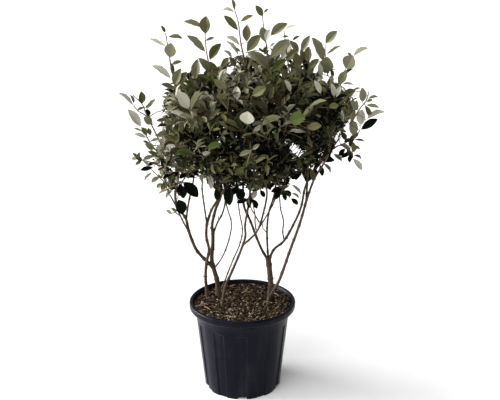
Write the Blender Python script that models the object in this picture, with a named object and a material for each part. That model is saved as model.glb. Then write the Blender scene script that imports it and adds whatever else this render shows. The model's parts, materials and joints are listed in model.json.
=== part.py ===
"""An evergreen shrub with silver-backed leaves, growing from six stems in a round nursery pot.

Metres, +Z up. The origin is on the pot's axis at the level that the pot stands on. The side that
is seen first faces -Y, and +X is to its right. Each stem, bough and mass of foliage is an object
of its own, as are the pot and the soil in it.
"""

import math
import random
from dataclasses import dataclass

import bmesh
import bpy
from mathutils import Matrix, Vector
from mathutils.bvhtree import BVHTree

UP = Vector((0.0, 0.0, 1.0))
GAP = 0.0003  # between two solids that touch
LIMB_GAP = 0.000375  # the same at the corners of a limb's flat-sided tube
MERGE = 1e-7  # corners nearer than this are one

# The pot: a tapered round container with shallow upright flutes and a rolled rim
RIM_RADIUS = 0.180
POT_HEIGHT = 0.310
BASE_RADIUS = 0.130
WALL_TOP_RADIUS = 0.1585
WALL_TOP = 0.272
RIM_FOLD = 0.284  # where the rim's skirt begins
RIM_WIDTH = 0.0135
WALL = 0.003
PAD_RADIUS = 0.075  # flat round pad in the middle of the underside
CHANNEL_DEPTH = 0.010  # raised ring between that pad and the foot
CHANNEL_SLOPE = 0.007
FOOT_WIDTH = 0.0075
FOOT_SLOPE = 0.003
SKIRT_SLOPE = 0.005  # how far the rim's underside is set back from its widest part
SKIRT_RISE = 0.012
LIP_ROUND = 0.006  # height of the rounding at the top of the rim
LIP_EDGE = 0.004  # width of the roundings on its inner side
FLUTES = 12
FLUTE_DEPTH = 0.0025
FLUTE_TOP = 0.240
FLUTE_FADE = 0.012
NOTCHES = 5
EDGE_HALF_TURN = math.radians(6.5)  # half the width of a flute, and of a notch in the foot
EDGE_BEVEL_TURN = math.radians(1.5)  # width of the slope beside it
POT_TURN = math.radians(-90.5)  # the first flute and the first notch face the front
WIDEST_GAP = math.tau / FLUTES - 2 * (EDGE_HALF_TURN + EDGE_BEVEL_TURN)  # between two corners
TURN_DIGITS = 6  # edges of a flute and a notch that agree this far are one

# The soil fills the pot to just under its rim
SOIL_TOP = 0.300
SOIL_GAP = 0.0006
SOIL_SIDES = 36

# Limbs
STEM_SIDES = 8
BOUGH_SIDES = 6
LIMB_STEP = 0.045  # length between two rings
NEAR_SHARE = 0.1  # boughs this near each other on their parent, as a share of its length, may touch
FLARE_HEIGHT = 0.018
FLARE = 0.45  # how much wider a stem is at the soil

# Foliage
TWIG_SIDES = 3
TWIG_STEP = 0.06
TWIG_TIP_RADIUS = 0.0019
TWIG_TAPER = 0.009  # radius gained for each metre away from a twig's tip
TWIG_SHARE = 0.8  # a twig's root as a share of what it springs from, at most
TWIG_BEND = 0.45  # share of its length at which a twig turns to where it ends
STRAIGHT_START = 0.012  # length over which a mass goes straight on from its bough
LEAF_LENGTH = 0.098
LEAF_WIDTH = 0.052
LEAF_THICKNESS = 0.0018
LEAF_WIDEST = 0.46  # share of the length at which a leaf is widest
LEAF_THICKEST = 0.25  # share of the length at which it is thickest
LEAF_FOLD = 0.10  # how far the edges stand above the midrib, as a share of the width
LEAF_ANGLE = math.radians(52)
LEAF_RISE = 0.35  # how much leaves at the crown's top reach up, and those at its foot hang
LEAF_STRAY = 0.2  # how far a leaf's own way departs from the rule, at most
LIGHT_OUTWARDS = 0.6  # how far leaves face outwards rather than up
LIGHT_STRAY = 0.5
LEAF_SUNK = 0.4  # how deep its root lies in a twig, as a share of the twig's thin end
LEAF_SPACING = 0.024
LEAF_TURN = math.radians(137.5)
LEAF_SCALES = (1.0, 1.0, 1.0, 1.0, 0.9, 0.9, 0.9, 0.9, 0.8, 0.8, 0.8, 0.8)  # turned, then smaller
BARE_SHARE = 0.22  # share of a twig that carries no leaf
SPACE_MARGIN = 0.0012  # how far a mass keeps from the next one's space
END_MARGIN = 0.0048  # the same for the ends of its twigs
LIMB_MARGIN = 0.0012  # how far twigs and leaves keep from a limb
TURN_COST = 0.8  # how much a sharp turn counts against a place for a twig to spring from
RUN_COST = 0.7  # how much its distance from the foot counts
TRIES = 8  # places that a twig may spring from before it is left out

# The crown's outer shape, within which the twigs end
CROWN_MIDDLE = Vector((0.040, 0.000, 0.920))
CROWN_REACH = Vector((0.350, 0.340, 0.225))
CROWN_POWER = 2.5
CROWN_SLANT = 0.28  # how much shallower the crown is at its right end, and lower at its left
SHOOT_ROOT = Vector((0.040, 0.000, 0.640))  # long shoots run straight away from here at their ends
LEAF_REACH = 1.22  # how far out leaves stand, as a share of that, apart from those on long shoots
CROWN_POINTS = 600  # places in the crown that twigs may grow to
TWIGS = 5  # twigs of a mass, apart from its stem and the shoots in its space
GOLDEN = ((1 + math.sqrt(5)) / 2, math.sqrt(2), math.sqrt(3))


@dataclass(frozen=True)
class Limb:
    """A stem or bough. through holds the points that it passes after its root, in metres."""

    name: str
    root_radius: float
    tip_radius: float
    through: tuple
    parent: str = ""  # the limb that it springs from, or none for a stem
    at: float = 1.0  # share of the parent's length at which it springs


@dataclass(frozen=True)
class Mass:
    """One mass of foliage: the limb that it grows from, and the middle of its space."""

    name: str
    carrier: str
    middle: tuple


LIMBS = (
    # The left stem crosses in front of the thick one
    Limb(
        "stem_left",
        0.0050,
        0.0042,
        (
            (-0.121, 0.049, SOIL_TOP),
            (-0.127, 0.052, 0.367),
            (-0.122, 0.045, 0.428),
            (-0.113, 0.036, 0.476),
            (-0.121, 0.030, 0.528),
            (-0.117, 0.022, 0.590),
        ),
    ),
    Limb(
        "stem_left_thick",
        0.0082,
        0.0054,
        (
            (-0.083, 0.059, SOIL_TOP),
            (-0.088, 0.066, 0.350),
            (-0.105, 0.070, 0.422),
            (-0.101, 0.066, 0.486),
            (-0.100, 0.062, 0.532),
        ),
    ),
    Limb(
        "stem_middle",
        0.0044,
        0.0038,
        (
            (-0.066, -0.029, SOIL_TOP),
            (-0.059, -0.026, 0.362),
            (-0.039, -0.028, 0.413),
            (-0.014, -0.036, 0.477),
            (0.006, -0.045, 0.534),
        ),
    ),
    Limb(
        "stem_slender",
        0.0024,
        0.0018,
        (
            (-0.074, 0.105, SOIL_TOP),
            (-0.061, 0.118, 0.333),
            (-0.034, 0.140, 0.398),
            (-0.010, 0.155, 0.452),
            (-0.001, 0.170, 0.503),
            (-0.012, 0.195, 0.560),
            (-0.018, 0.225, 0.630),
            (-0.005, 0.250, 0.700),
        ),
    ),
    Limb(
        "stem_right_thick",
        0.0082,
        0.0088,
        (
            (0.094, 0.024, SOIL_TOP),
            (0.097, 0.032, 0.350),
            (0.093, 0.040, 0.396),
            (0.087, 0.046, 0.447),
        ),
    ),
    Limb(
        "stem_right",
        0.0050,
        0.0038,
        (
            (0.087, 0.000, SOIL_TOP),
            (0.100, 0.002, 0.331),
            (0.125, -0.004, 0.383),
            (0.157, -0.022, 0.492),
            (0.187, -0.048, 0.598),
            (0.209, -0.075, 0.700),
        ),
    ),
    # Boughs of the left stem
    Limb(
        "bough_upper_front",
        0.0040,
        0.0030,
        (
            (-0.100, 0.012, 0.630),
            (-0.069, 0.000, 0.682),
            (-0.039, -0.025, 0.741),
            (-0.018, -0.060, 0.800),
            (-0.026, -0.095, 0.880),
            (-0.044, -0.120, 0.950),
        ),
        "stem_left",
        0.94,
    ),
    Limb(
        "bough_front_left",
        0.0026,
        0.0022,
        (
            (-0.124, -0.010, 0.648),
            (-0.127, -0.060, 0.718),
            (-0.122, -0.120, 0.785),
            (-0.124, -0.155, 0.815),
        ),
        "stem_left",
        0.95,
    ),
    # Boughs of the thick left stem
    Limb(
        "bough_upper_left",
        0.0048,
        0.0032,
        (
            (-0.102, 0.058, 0.561),
            (-0.088, 0.047, 0.622),
            (-0.072, 0.036, 0.672),
            (-0.086, 0.022, 0.760),
            (-0.122, 0.004, 0.850),
            (-0.155, -0.010, 0.940),
        ),
        "stem_left_thick",
        0.95,
    ),
    Limb(
        "bough_core_left",
        0.0030,
        0.0024,
        (
            (-0.085, 0.072, 0.560),
            (-0.068, 0.084, 0.590),
            (-0.058, 0.092, 0.630),
            (-0.055, 0.088, 0.690),
        ),
        "stem_left_thick",
        0.96,
    ),
    Limb(
        "bough_left",
        0.0056,
        0.0032,
        (
            (-0.129, 0.062, 0.431),
            (-0.158, 0.050, 0.474),
            (-0.179, 0.035, 0.541),
            (-0.188, 0.020, 0.594),
            (-0.213, 0.000, 0.644),
            (-0.218, -0.010, 0.692),
            (-0.206, -0.024, 0.752),
            (-0.218, -0.020, 0.795),
        ),
        "stem_left_thick",
        0.44,
    ),
    Limb(
        "bough_left_back",
        0.0030,
        0.0024,
        (
            (-0.182, 0.035, 0.624),
            (-0.175, 0.060, 0.660),
            (-0.164, 0.100, 0.711),
            (-0.168, 0.140, 0.755),
        ),
        "bough_left",
        0.50,
    ),
    Limb(
        "bough_left_front",
        0.0026,
        0.0020,
        (
            (-0.194, 0.006, 0.584),
            (-0.205, -0.045, 0.637),
            (-0.215, -0.095, 0.688),
            (-0.226, -0.125, 0.725),
        ),
        "bough_left",
        0.38,
    ),
    Limb(
        "bough_upper_back_left",
        0.0022,
        0.0018,
        (
            (-0.074, 0.085, 0.423),
            (-0.055, 0.100, 0.462),
            (-0.041, 0.130, 0.506),
            (-0.040, 0.145, 0.543),
            (-0.055, 0.162, 0.590),
            (-0.078, 0.180, 0.690),
            (-0.096, 0.186, 0.800),
            (-0.100, 0.176, 0.955),
        ),
        "stem_left_thick",
        0.42,
    ),
    # Boughs of the middle stem
    Limb(
        "bough_upper_front_right",
        0.0034,
        0.0026,
        (
            (0.011, -0.052, 0.560),
            (0.010, -0.075, 0.605),
            (0.020, -0.110, 0.678),
            (0.028, -0.138, 0.750),
            (0.046, -0.150, 0.840),
            (0.085, -0.165, 0.955),
        ),
        "stem_middle",
        0.95,
    ),
    Limb(
        "bough_front",
        0.0032,
        0.0024,
        (
            (0.031, -0.060, 0.556),
            (0.052, -0.080, 0.592),
            (0.068, -0.120, 0.661),
            (0.078, -0.170, 0.740),
            (0.068, -0.215, 0.800),
        ),
        "stem_middle",
        0.96,
    ),
    Limb(
        "bough_core_right",
        0.0022,
        0.0018,
        (
            (0.074, -0.076, 0.628),
            (0.096, -0.070, 0.666),
            (0.109, -0.058, 0.695),
            (0.124, -0.040, 0.740),
        ),
        "bough_front",
        0.26,
    ),
    # Boughs of the thick right stem
    Limb(
        "bough_top",
        0.0042,
        0.0028,
        (
            (0.065, 0.052, 0.473),
            (0.046, 0.060, 0.518),
            (0.027, 0.070, 0.568),
            (0.004, 0.078, 0.628),
            (0.006, 0.068, 0.740),
            (0.024, 0.046, 0.870),
            (0.040, 0.022, 0.980),
        ),
        "stem_right_thick",
        0.90,
    ),
    Limb(
        "bough_upper_back_right",
        0.0034,
        0.0024,
        (
            (0.085, 0.062, 0.485),
            (0.084, 0.080, 0.539),
            (0.091, 0.108, 0.590),
            (0.108, 0.128, 0.640),
            (0.124, 0.148, 0.740),
            (0.140, 0.164, 0.830),
            (0.148, 0.175, 0.958),
        ),
        "stem_right_thick",
        0.93,
    ),
    Limb(
        "bough_right",
        0.0042,
        0.0028,
        (
            (0.107, 0.045, 0.474),
            (0.141, 0.040, 0.508),
            (0.172, 0.030, 0.571),
            (0.195, 0.020, 0.635),
            (0.210, 0.012, 0.715),
            (0.250, 0.016, 0.780),
            (0.285, 0.022, 0.825),
        ),
        "stem_right_thick",
        0.90,
    ),
    Limb(
        "bough_right_back",
        0.0022,
        0.0018,
        (
            (0.137, 0.066, 0.532),
            (0.140, 0.090, 0.561),
            (0.130, 0.128, 0.600),
            (0.132, 0.162, 0.650),
            (0.165, 0.196, 0.710),
            (0.200, 0.218, 0.770),
        ),
        "bough_right",
        0.21,
    ),
    # Boughs of the right stem
    Limb(
        "bough_right_front",
        0.0034,
        0.0028,
        (
            (0.224, -0.092, 0.754),
            (0.238, -0.118, 0.795),
            (0.250, -0.142, 0.825),
        ),
        "stem_right",
        0.97,
    ),
    Limb(
        "bough_upper_right",
        0.0030,
        0.0026,
        (
            (0.208, -0.070, 0.745),
            (0.210, -0.062, 0.800),
            (0.222, -0.052, 0.870),
            (0.236, -0.040, 0.955),
        ),
        "stem_right",
        0.96,
    ),
)

# One mass of foliage to each bough: where it grows from, and the middle of its space
MASSES = (
    Mass("foliage_front_left", "bough_front_left", (-0.105, -0.240, 0.860)),
    Mass("foliage_front", "bough_front", (0.080, -0.230, 0.850)),
    Mass("foliage_right_front", "bough_right_front", (0.270, -0.185, 0.900)),
    Mass("foliage_right", "bough_right", (0.325, 0.020, 0.880)),
    Mass("foliage_right_back", "bough_right_back", (0.240, 0.205, 0.875)),
    Mass("foliage_back", "stem_slender", (0.030, 0.250, 0.860)),
    Mass("foliage_left_back", "bough_left_back", (-0.165, 0.200, 0.865)),
    Mass("foliage_left", "bough_left", (-0.245, 0.030, 0.870)),
    Mass("foliage_left_front", "bough_left_front", (-0.220, -0.145, 0.860)),
    Mass("foliage_core_left", "bough_core_left", (-0.045, 0.020, 0.815)),
    Mass("foliage_core_right", "bough_core_right", (0.140, 0.000, 0.815)),
    Mass("foliage_upper_front", "bough_upper_front", (-0.070, -0.180, 1.030)),
    Mass("foliage_upper_front_right", "bough_upper_front_right", (0.130, -0.185, 1.030)),
    Mass("foliage_upper_left", "bough_upper_left", (-0.185, -0.020, 1.030)),
    Mass("foliage_upper_back_left", "bough_upper_back_left", (-0.100, 0.175, 1.025)),
    Mass("foliage_upper_back_right", "bough_upper_back_right", (0.145, 0.190, 1.030)),
    Mass("foliage_upper_right", "bough_upper_right", (0.250, -0.010, 1.030)),
    Mass("foliage_top", "bough_top", (0.040, 0.010, 1.050)),
)

# Ends of the long shoots that stand out of the crown, each short of its tip by one leaf
SHOOTS = (
    (-0.218, -0.120, 1.150),
    (-0.107, -0.065, 1.165),
    (-0.016, -0.020, 1.216),
    (0.068, -0.080, 1.203),
    (0.165, 0.000, 1.130),
    (0.203, -0.050, 1.120),
    (0.272, 0.050, 1.120),
    (0.335, 0.000, 1.090),
    (0.370, -0.070, 0.985),
    (0.372, -0.045, 0.900),
    (0.345, 0.000, 0.840),
    (-0.318, -0.110, 1.000),
    (-0.262, -0.120, 0.865),
    (-0.258, -0.100, 0.785),
    (-0.232, -0.120, 0.735),
    # the underside
    (-0.030, -0.060, 0.705),
    (0.085, -0.070, 0.700),
    (0.140, -0.030, 0.700),
    # the sides that the first view hides
    (-0.120, 0.150, 1.160),
    (0.140, 0.160, 1.155),
    (0.020, 0.310, 1.010),
    (-0.240, 0.220, 0.965),
    (0.320, 0.200, 0.985),
    (0.030, -0.310, 0.900),
)


def material(name, colour, roughness):
    """A plain finish of one colour."""
    made = bpy.data.materials.new(name)
    made.use_nodes = True
    shader = made.node_tree.nodes["Principled BSDF"]
    shader.inputs["Base Color"].default_value = (*colour, 1.0)
    shader.inputs["Roughness"].default_value = roughness
    shader.inputs["Metallic"].default_value = 0.0
    made.diffuse_color = (*colour, 1.0)
    return made


def loft(bm, rings):
    """Skin over rings of equally many points, closed with a flat face at each end."""
    loops = [[bm.verts.new(point) for point in ring] for ring in rings]
    count = len(loops[0])
    for low, high in zip(loops, loops[1:]):
        for i in range(count):
            j = (i + 1) % count
            bm.faces.new((low[i], low[j], high[j], high[i]))
    bm.faces.new(reversed(loops[0]))
    bm.faces.new(loops[-1])


def solid(name, bm, finish, smooth_below=math.radians(35)):
    """An object from a bmesh, with its faces turned outwards and its round parts smooth."""
    bmesh.ops.recalc_face_normals(bm, faces=bm.faces)
    mesh = bpy.data.meshes.new(name)
    bm.to_mesh(mesh)
    bm.free()
    mesh.shade_smooth()
    mesh.set_sharp_from_angle(angle=smooth_below)
    mesh.materials.append(finish)
    made = bpy.data.objects.new(name, mesh)
    bpy.context.scene.collection.objects.link(made)
    return made


def share_inside(turn, count):
    """How far a turn is inside one of so many evenly spread flutes or notches, from 0 to 1."""
    step = math.tau / count
    off = abs((turn + step / 2) % step - step / 2)
    return min(1.0, max(0.0, (EDGE_HALF_TURN + EDGE_BEVEL_TURN - off) / EDGE_BEVEL_TURN))


def pot_turns():
    """The turns at which the pot has its corners: the edges of all flutes and notches."""
    turns = set()
    for count in (FLUTES, NOTCHES):
        for index in range(count):
            for edge in (EDGE_HALF_TURN, EDGE_HALF_TURN + EDGE_BEVEL_TURN):
                turns.add(round((math.tau * index / count + edge) % math.tau, TURN_DIGITS))
                turns.add(round((math.tau * index / count - edge) % math.tau, TURN_DIGITS))
    return sorted(turns)


def pot_ring(radius, height, recess=0.0, notch=0.0):
    """One level of the pot: recess sets its flutes back, and notch lifts its foot in places."""
    ring = []
    for turn in pot_turns():
        reach = radius - recess * share_inside(turn, FLUTES)
        lift = notch * share_inside(turn, NOTCHES)
        across = POT_TURN + turn
        ring.append((reach * math.cos(across), reach * math.sin(across), height + lift))
    return ring


def wall_radius(height):
    """Outer radius of the pot's wall below the rim, which widens evenly."""
    share = height / WALL_TOP
    return BASE_RADIUS + (WALL_TOP_RADIUS - BASE_RADIUS) * share


def inner_levels():
    """(radius, height, recess) of the pot's inside, from the middle of its floor to its lip."""
    floor = CHANNEL_DEPTH + WALL
    lip = RIM_RADIUS - RIM_WIDTH
    return (
        (PAD_RADIUS - WALL, WALL, 0.0),
        (PAD_RADIUS + CHANNEL_SLOPE - WALL, floor, 0.0),
        (wall_radius(floor) - WALL, floor, FLUTE_DEPTH),
        (wall_radius(FLUTE_TOP) - WALL, FLUTE_TOP, FLUTE_DEPTH),
        (wall_radius(FLUTE_TOP + FLUTE_FADE) - WALL, FLUTE_TOP + FLUTE_FADE, 0.0),
        (WALL_TOP_RADIUS - WALL, WALL_TOP, 0.0),
        (lip - LIP_EDGE, RIM_FOLD + SKIRT_RISE, 0.0),
        (lip, POT_HEIGHT - LIP_ROUND, 0.0),
    )


def pot(finish):
    """The container, standing on its foot ring and on the pad in the middle of its underside."""
    foot_inside = BASE_RADIUS - FOOT_WIDTH
    fade_end = FLUTE_TOP + FLUTE_FADE
    outside = [
        pot_ring(PAD_RADIUS, 0.0),
        pot_ring(PAD_RADIUS + CHANNEL_SLOPE, CHANNEL_DEPTH),
        pot_ring(foot_inside - FOOT_SLOPE, CHANNEL_DEPTH, FLUTE_DEPTH),
        pot_ring(foot_inside, 0.0, FLUTE_DEPTH, CHANNEL_DEPTH),
        pot_ring(BASE_RADIUS, 0.0, FLUTE_DEPTH, CHANNEL_DEPTH),
        pot_ring(wall_radius(FLUTE_TOP), FLUTE_TOP, FLUTE_DEPTH),
        pot_ring(wall_radius(fade_end), fade_end),
        pot_ring(WALL_TOP_RADIUS, WALL_TOP),
        pot_ring(RIM_RADIUS - SKIRT_SLOPE, RIM_FOLD),
        pot_ring(RIM_RADIUS, RIM_FOLD + SKIRT_RISE),
        pot_ring(RIM_RADIUS, POT_HEIGHT - LIP_ROUND),
        pot_ring(RIM_RADIUS - LIP_ROUND / 2, POT_HEIGHT),
        pot_ring(RIM_RADIUS - RIM_WIDTH + LIP_EDGE, POT_HEIGHT),
    ]
    inside = [pot_ring(*level) for level in reversed(inner_levels())]
    bm = bmesh.new()
    loft(bm, outside + inside)
    return solid("pot", bm, finish)


def soil(finish):
    """The soil, which follows the pot's inside up to a flat top."""
    lip = RIM_RADIUS - RIM_WIDTH
    levels = [(radius - recess, height) for radius, height, recess in inner_levels()[:6]]
    levels.append((lip - LIP_EDGE, SOIL_TOP - SOIL_GAP))
    inset = math.cos(WIDEST_GAP / 2)  # the pot's flat flutes and walls cut across the circle
    rings = []
    for radius, height in levels:
        reach = radius * inset - SOIL_GAP
        turns = [math.tau * corner / SOIL_SIDES for corner in range(SOIL_SIDES)]
        level = height + SOIL_GAP
        rings.append([(reach * math.cos(turn), reach * math.sin(turn), level) for turn in turns])
    bm = bmesh.new()
    loft(bm, rings)
    return solid("soil", bm, finish)


def smooth_points(points, step):
    """Points about one step apart on a smooth curve through the given ones."""
    knots = [points[0] * 2 - points[1], *points, points[-1] * 2 - points[-2]]
    path = [points[0].copy()]
    for before, start, end, after in zip(knots, knots[1:], knots[2:], knots[3:]):
        parts = max(1, round((end - start).length / step))
        for part in range(1, parts + 1):
            t = part / parts
            path.append(
                0.5
                * (
                    2 * start
                    + (end - before) * t
                    + (2 * before - 5 * start + 4 * end - after) * t**2
                    + (3 * start - before - 3 * end + after) * t**3
                )
            )
    return path


def directions(path):
    """The way that a path runs at each of its points."""
    runs = [(b - a).normalized() for a, b in zip(path, path[1:])]
    middles = [(a + b).normalized() for a, b in zip(runs, runs[1:])]
    return [runs[0], *middles, runs[-1]]


def tube_rings(path, radii, sides, flat_foot=False):
    """Rings square to the path. With flat_foot the first one lies level."""
    ways = directions(path)
    side = ways[0].orthogonal().normalized()
    rings = []
    for index, (point, way, radius) in enumerate(zip(path, ways, radii)):
        side = (side - way * side.dot(way)).normalized()
        other = way.cross(side)
        ring = []
        for corner in range(sides):
            turn = math.tau * corner / sides
            offset = (side * math.cos(turn) + other * math.sin(turn)) * radius
            if flat_foot and index == 0:
                offset -= way * (offset.z / way.z)
            ring.append(point + offset)
        rings.append(ring)
    return rings


class GrownLimb:
    """A limb with its path worked out: the points, and the radius at each."""

    def __init__(self, limb, grown):
        self.limb = limb
        self.sides = BOUGH_SIDES if limb.name.startswith("bough") else STEM_SIDES
        points = [Vector(point) for point in limb.through]
        if limb.parent:
            points.insert(0, grown[limb.parent].point_at(limb.at))
        else:
            points[0].z += GAP
        self.path = smooth_points(points, LIMB_STEP)
        self.runs = [0.0]
        for a, b in zip(self.path, self.path[1:]):
            self.runs.append(self.runs[-1] + (b - a).length)
        self.radii = [self.radius_at(run) for run in self.runs]

    def radius_at(self, run):
        """Radius at a length from the root: an even taper, with a flare where a stem leaves the soil."""
        limb = self.limb
        radius = limb.root_radius + (limb.tip_radius - limb.root_radius) * run / self.runs[-1]
        if not limb.parent:
            radius *= 1 + FLARE * math.exp(-run / FLARE_HEIGHT)
        return radius

    def point_at(self, share):
        """The point at a share of the length."""
        run = share * self.runs[-1]
        for a, b, low, high in zip(self.path, self.path[1:], self.runs, self.runs[1:]):
            if run <= high:
                return a.lerp(b, (run - low) / (high - low))
        return self.path[-1].copy()

    def rings(self, swell=0.0):
        """The limb's rings. A swollen limb is the space that it needs, and runs past its tip too."""
        path = [point.copy() for point in self.path]
        if swell:
            path[-1] += directions(path)[-1] * swell
        radii = [radius + swell for radius in self.radii]
        return tube_rings(path, radii, self.sides, flat_foot=not self.limb.parent)

    def tree(self, swell):
        """The swollen limb as a search tree, which tells what touches it."""
        bm = bmesh.new()
        loft(bm, self.rings(swell))
        found = BVHTree.FromBMesh(bm)
        bm.free()
        return found


def apply_boolean(target, operation, other=None, collection=None):
    """Apply one Boolean to an object, with another object or all of a collection.

    The exact solver is tried first, and the manifold one where its result isn't closed.
    """
    boolean = target.modifiers.new("boolean", "BOOLEAN")
    boolean.operation = operation
    if other:
        boolean.object = other
    else:
        boolean.operand_type = "COLLECTION"
        boolean.collection = collection
    for solver in ("EXACT", "MANIFOLD"):
        boolean.solver = solver
        shape = target.evaluated_get(bpy.context.evaluated_depsgraph_get())
        mesh = bpy.data.meshes.new_from_object(shape)
        if is_closed(mesh):
            break
    target.modifiers.clear()
    target.data = mesh


def is_closed(mesh):
    """True if each edge joins two faces, also once corners in the same place are merged."""
    bm = bmesh.new()
    bm.from_mesh(mesh)
    bmesh.ops.remove_doubles(bm, verts=bm.verts, dist=MERGE)
    closed = all(edge.is_manifold for edge in bm.edges)
    bm.free()
    return closed


def keep_main_body(target):
    """Drop loose scraps, and fill hollows that are sealed in, by keeping the largest body alone."""
    bm = bmesh.new()
    bm.from_mesh(target.data)
    bmesh.ops.remove_doubles(bm, verts=bm.verts, dist=MERGE)
    left = set(bm.faces)
    bodies = []
    while left:
        stack = [left.pop()]
        body = list(stack)
        while stack:
            for edge in stack.pop().edges:
                for face in edge.link_faces:
                    if face in left:
                        left.remove(face)
                        stack.append(face)
                        body.append(face)
        bodies.append(body)
    bodies.sort(key=lambda faces: sum(face.calc_area() for face in faces))
    scraps = [face for body in bodies[:-1] for face in body]
    if scraps:
        bmesh.ops.delete(bm, geom=scraps, context="FACES")
        loose = [vert for vert in bm.verts if not vert.link_faces]
        bmesh.ops.delete(bm, geom=loose, context="VERTS")
    bm.to_mesh(target.data)
    bm.free()


def limb_solid(grown_limb, cutters, finish):
    """A limb's solid, cut clear of the limbs that it springs from and beside."""
    bm = bmesh.new()
    loft(bm, grown_limb.rings())
    made = solid(grown_limb.limb.name, bm, finish)
    for neighbour in cutters:
        bm = bmesh.new()
        loft(bm, neighbour.rings(LIMB_GAP))
        cutter = solid("cutter", bm, finish)
        apply_boolean(made, "DIFFERENCE", other=cutter)
        bpy.data.objects.remove(cutter)
    if cutters:
        keep_main_body(made)
    return made


def crown_points(count):
    """Evenly spread points inside the crown's outer shape, from a golden-ratio sequence."""
    points = []
    index = 0
    while len(points) < count:
        index += 1
        unit = [2 * ((index * ratio) % 1.0) - 1 for ratio in GOLDEN]
        unit[2] *= crown_height(unit[0], unit[2])
        point = CROWN_MIDDLE + Vector(value * reach for value, reach in zip(unit, CROWN_REACH))
        if in_crown(point):
            points.append(point)
    return points


def crown_height(across, up):
    """The crown's half height at a place across, as a share of that in its middle."""
    return 1 - CROWN_SLANT * (across if up < 0 else max(0.0, across))


def in_crown(point, swell=1.0):
    """True inside the crown's outer shape, or that shape swollen."""
    offset = [value / reach for value, reach in zip(point - CROWN_MIDDLE, CROWN_REACH)]
    offset[2] /= crown_height(offset[0], offset[2])
    return sum(abs(value) ** CROWN_POWER for value in offset) <= swell**CROWN_POWER


def in_space(point, mass, margin=SPACE_MARGIN):
    """True where a point is nearer to this mass's middle than to any other's, by the margin."""
    middle = Vector(mass.middle)
    own = (point - middle).length_squared
    for other in MASSES:
        if other is not mass:
            away = Vector(other.middle)
            apart = (away - middle).length
            if (point - away).length_squared - own < 2 * margin * apart:
                return False
    return True


def leaf_shape(root, way, face, scale):
    """The six corners of a leaf: its root, two edges, the midrib above and below, and its tip."""
    length = LEAF_LENGTH * scale
    edge = face.cross(way).normalized() * (LEAF_WIDTH * scale / 2)
    lift = face * (LEAF_WIDTH * LEAF_FOLD * scale)
    half = face * (LEAF_THICKNESS / 2)
    wide = root + way * (length * LEAF_WIDEST) + lift
    thick = root + way * (length * LEAF_THICKEST)
    return (root, wide + edge, wide - edge, thick + half, thick - half, root + way * length)


LEAF_FACES = (
    (0, 2, 3),
    (0, 3, 1),
    (3, 2, 5),
    (3, 5, 1),
    (0, 4, 2),
    (0, 1, 4),
    (4, 5, 2),
    (4, 1, 5),
)


def leaf_bmesh(corners):
    """A leaf as a closed thin body."""
    bm = bmesh.new()
    verts = [bm.verts.new(corner) for corner in corners]
    for face in LEAF_FACES:
        bm.faces.new([verts[index] for index in face])
    bmesh.ops.recalc_face_normals(bm, faces=bm.faces)
    return bm


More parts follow.
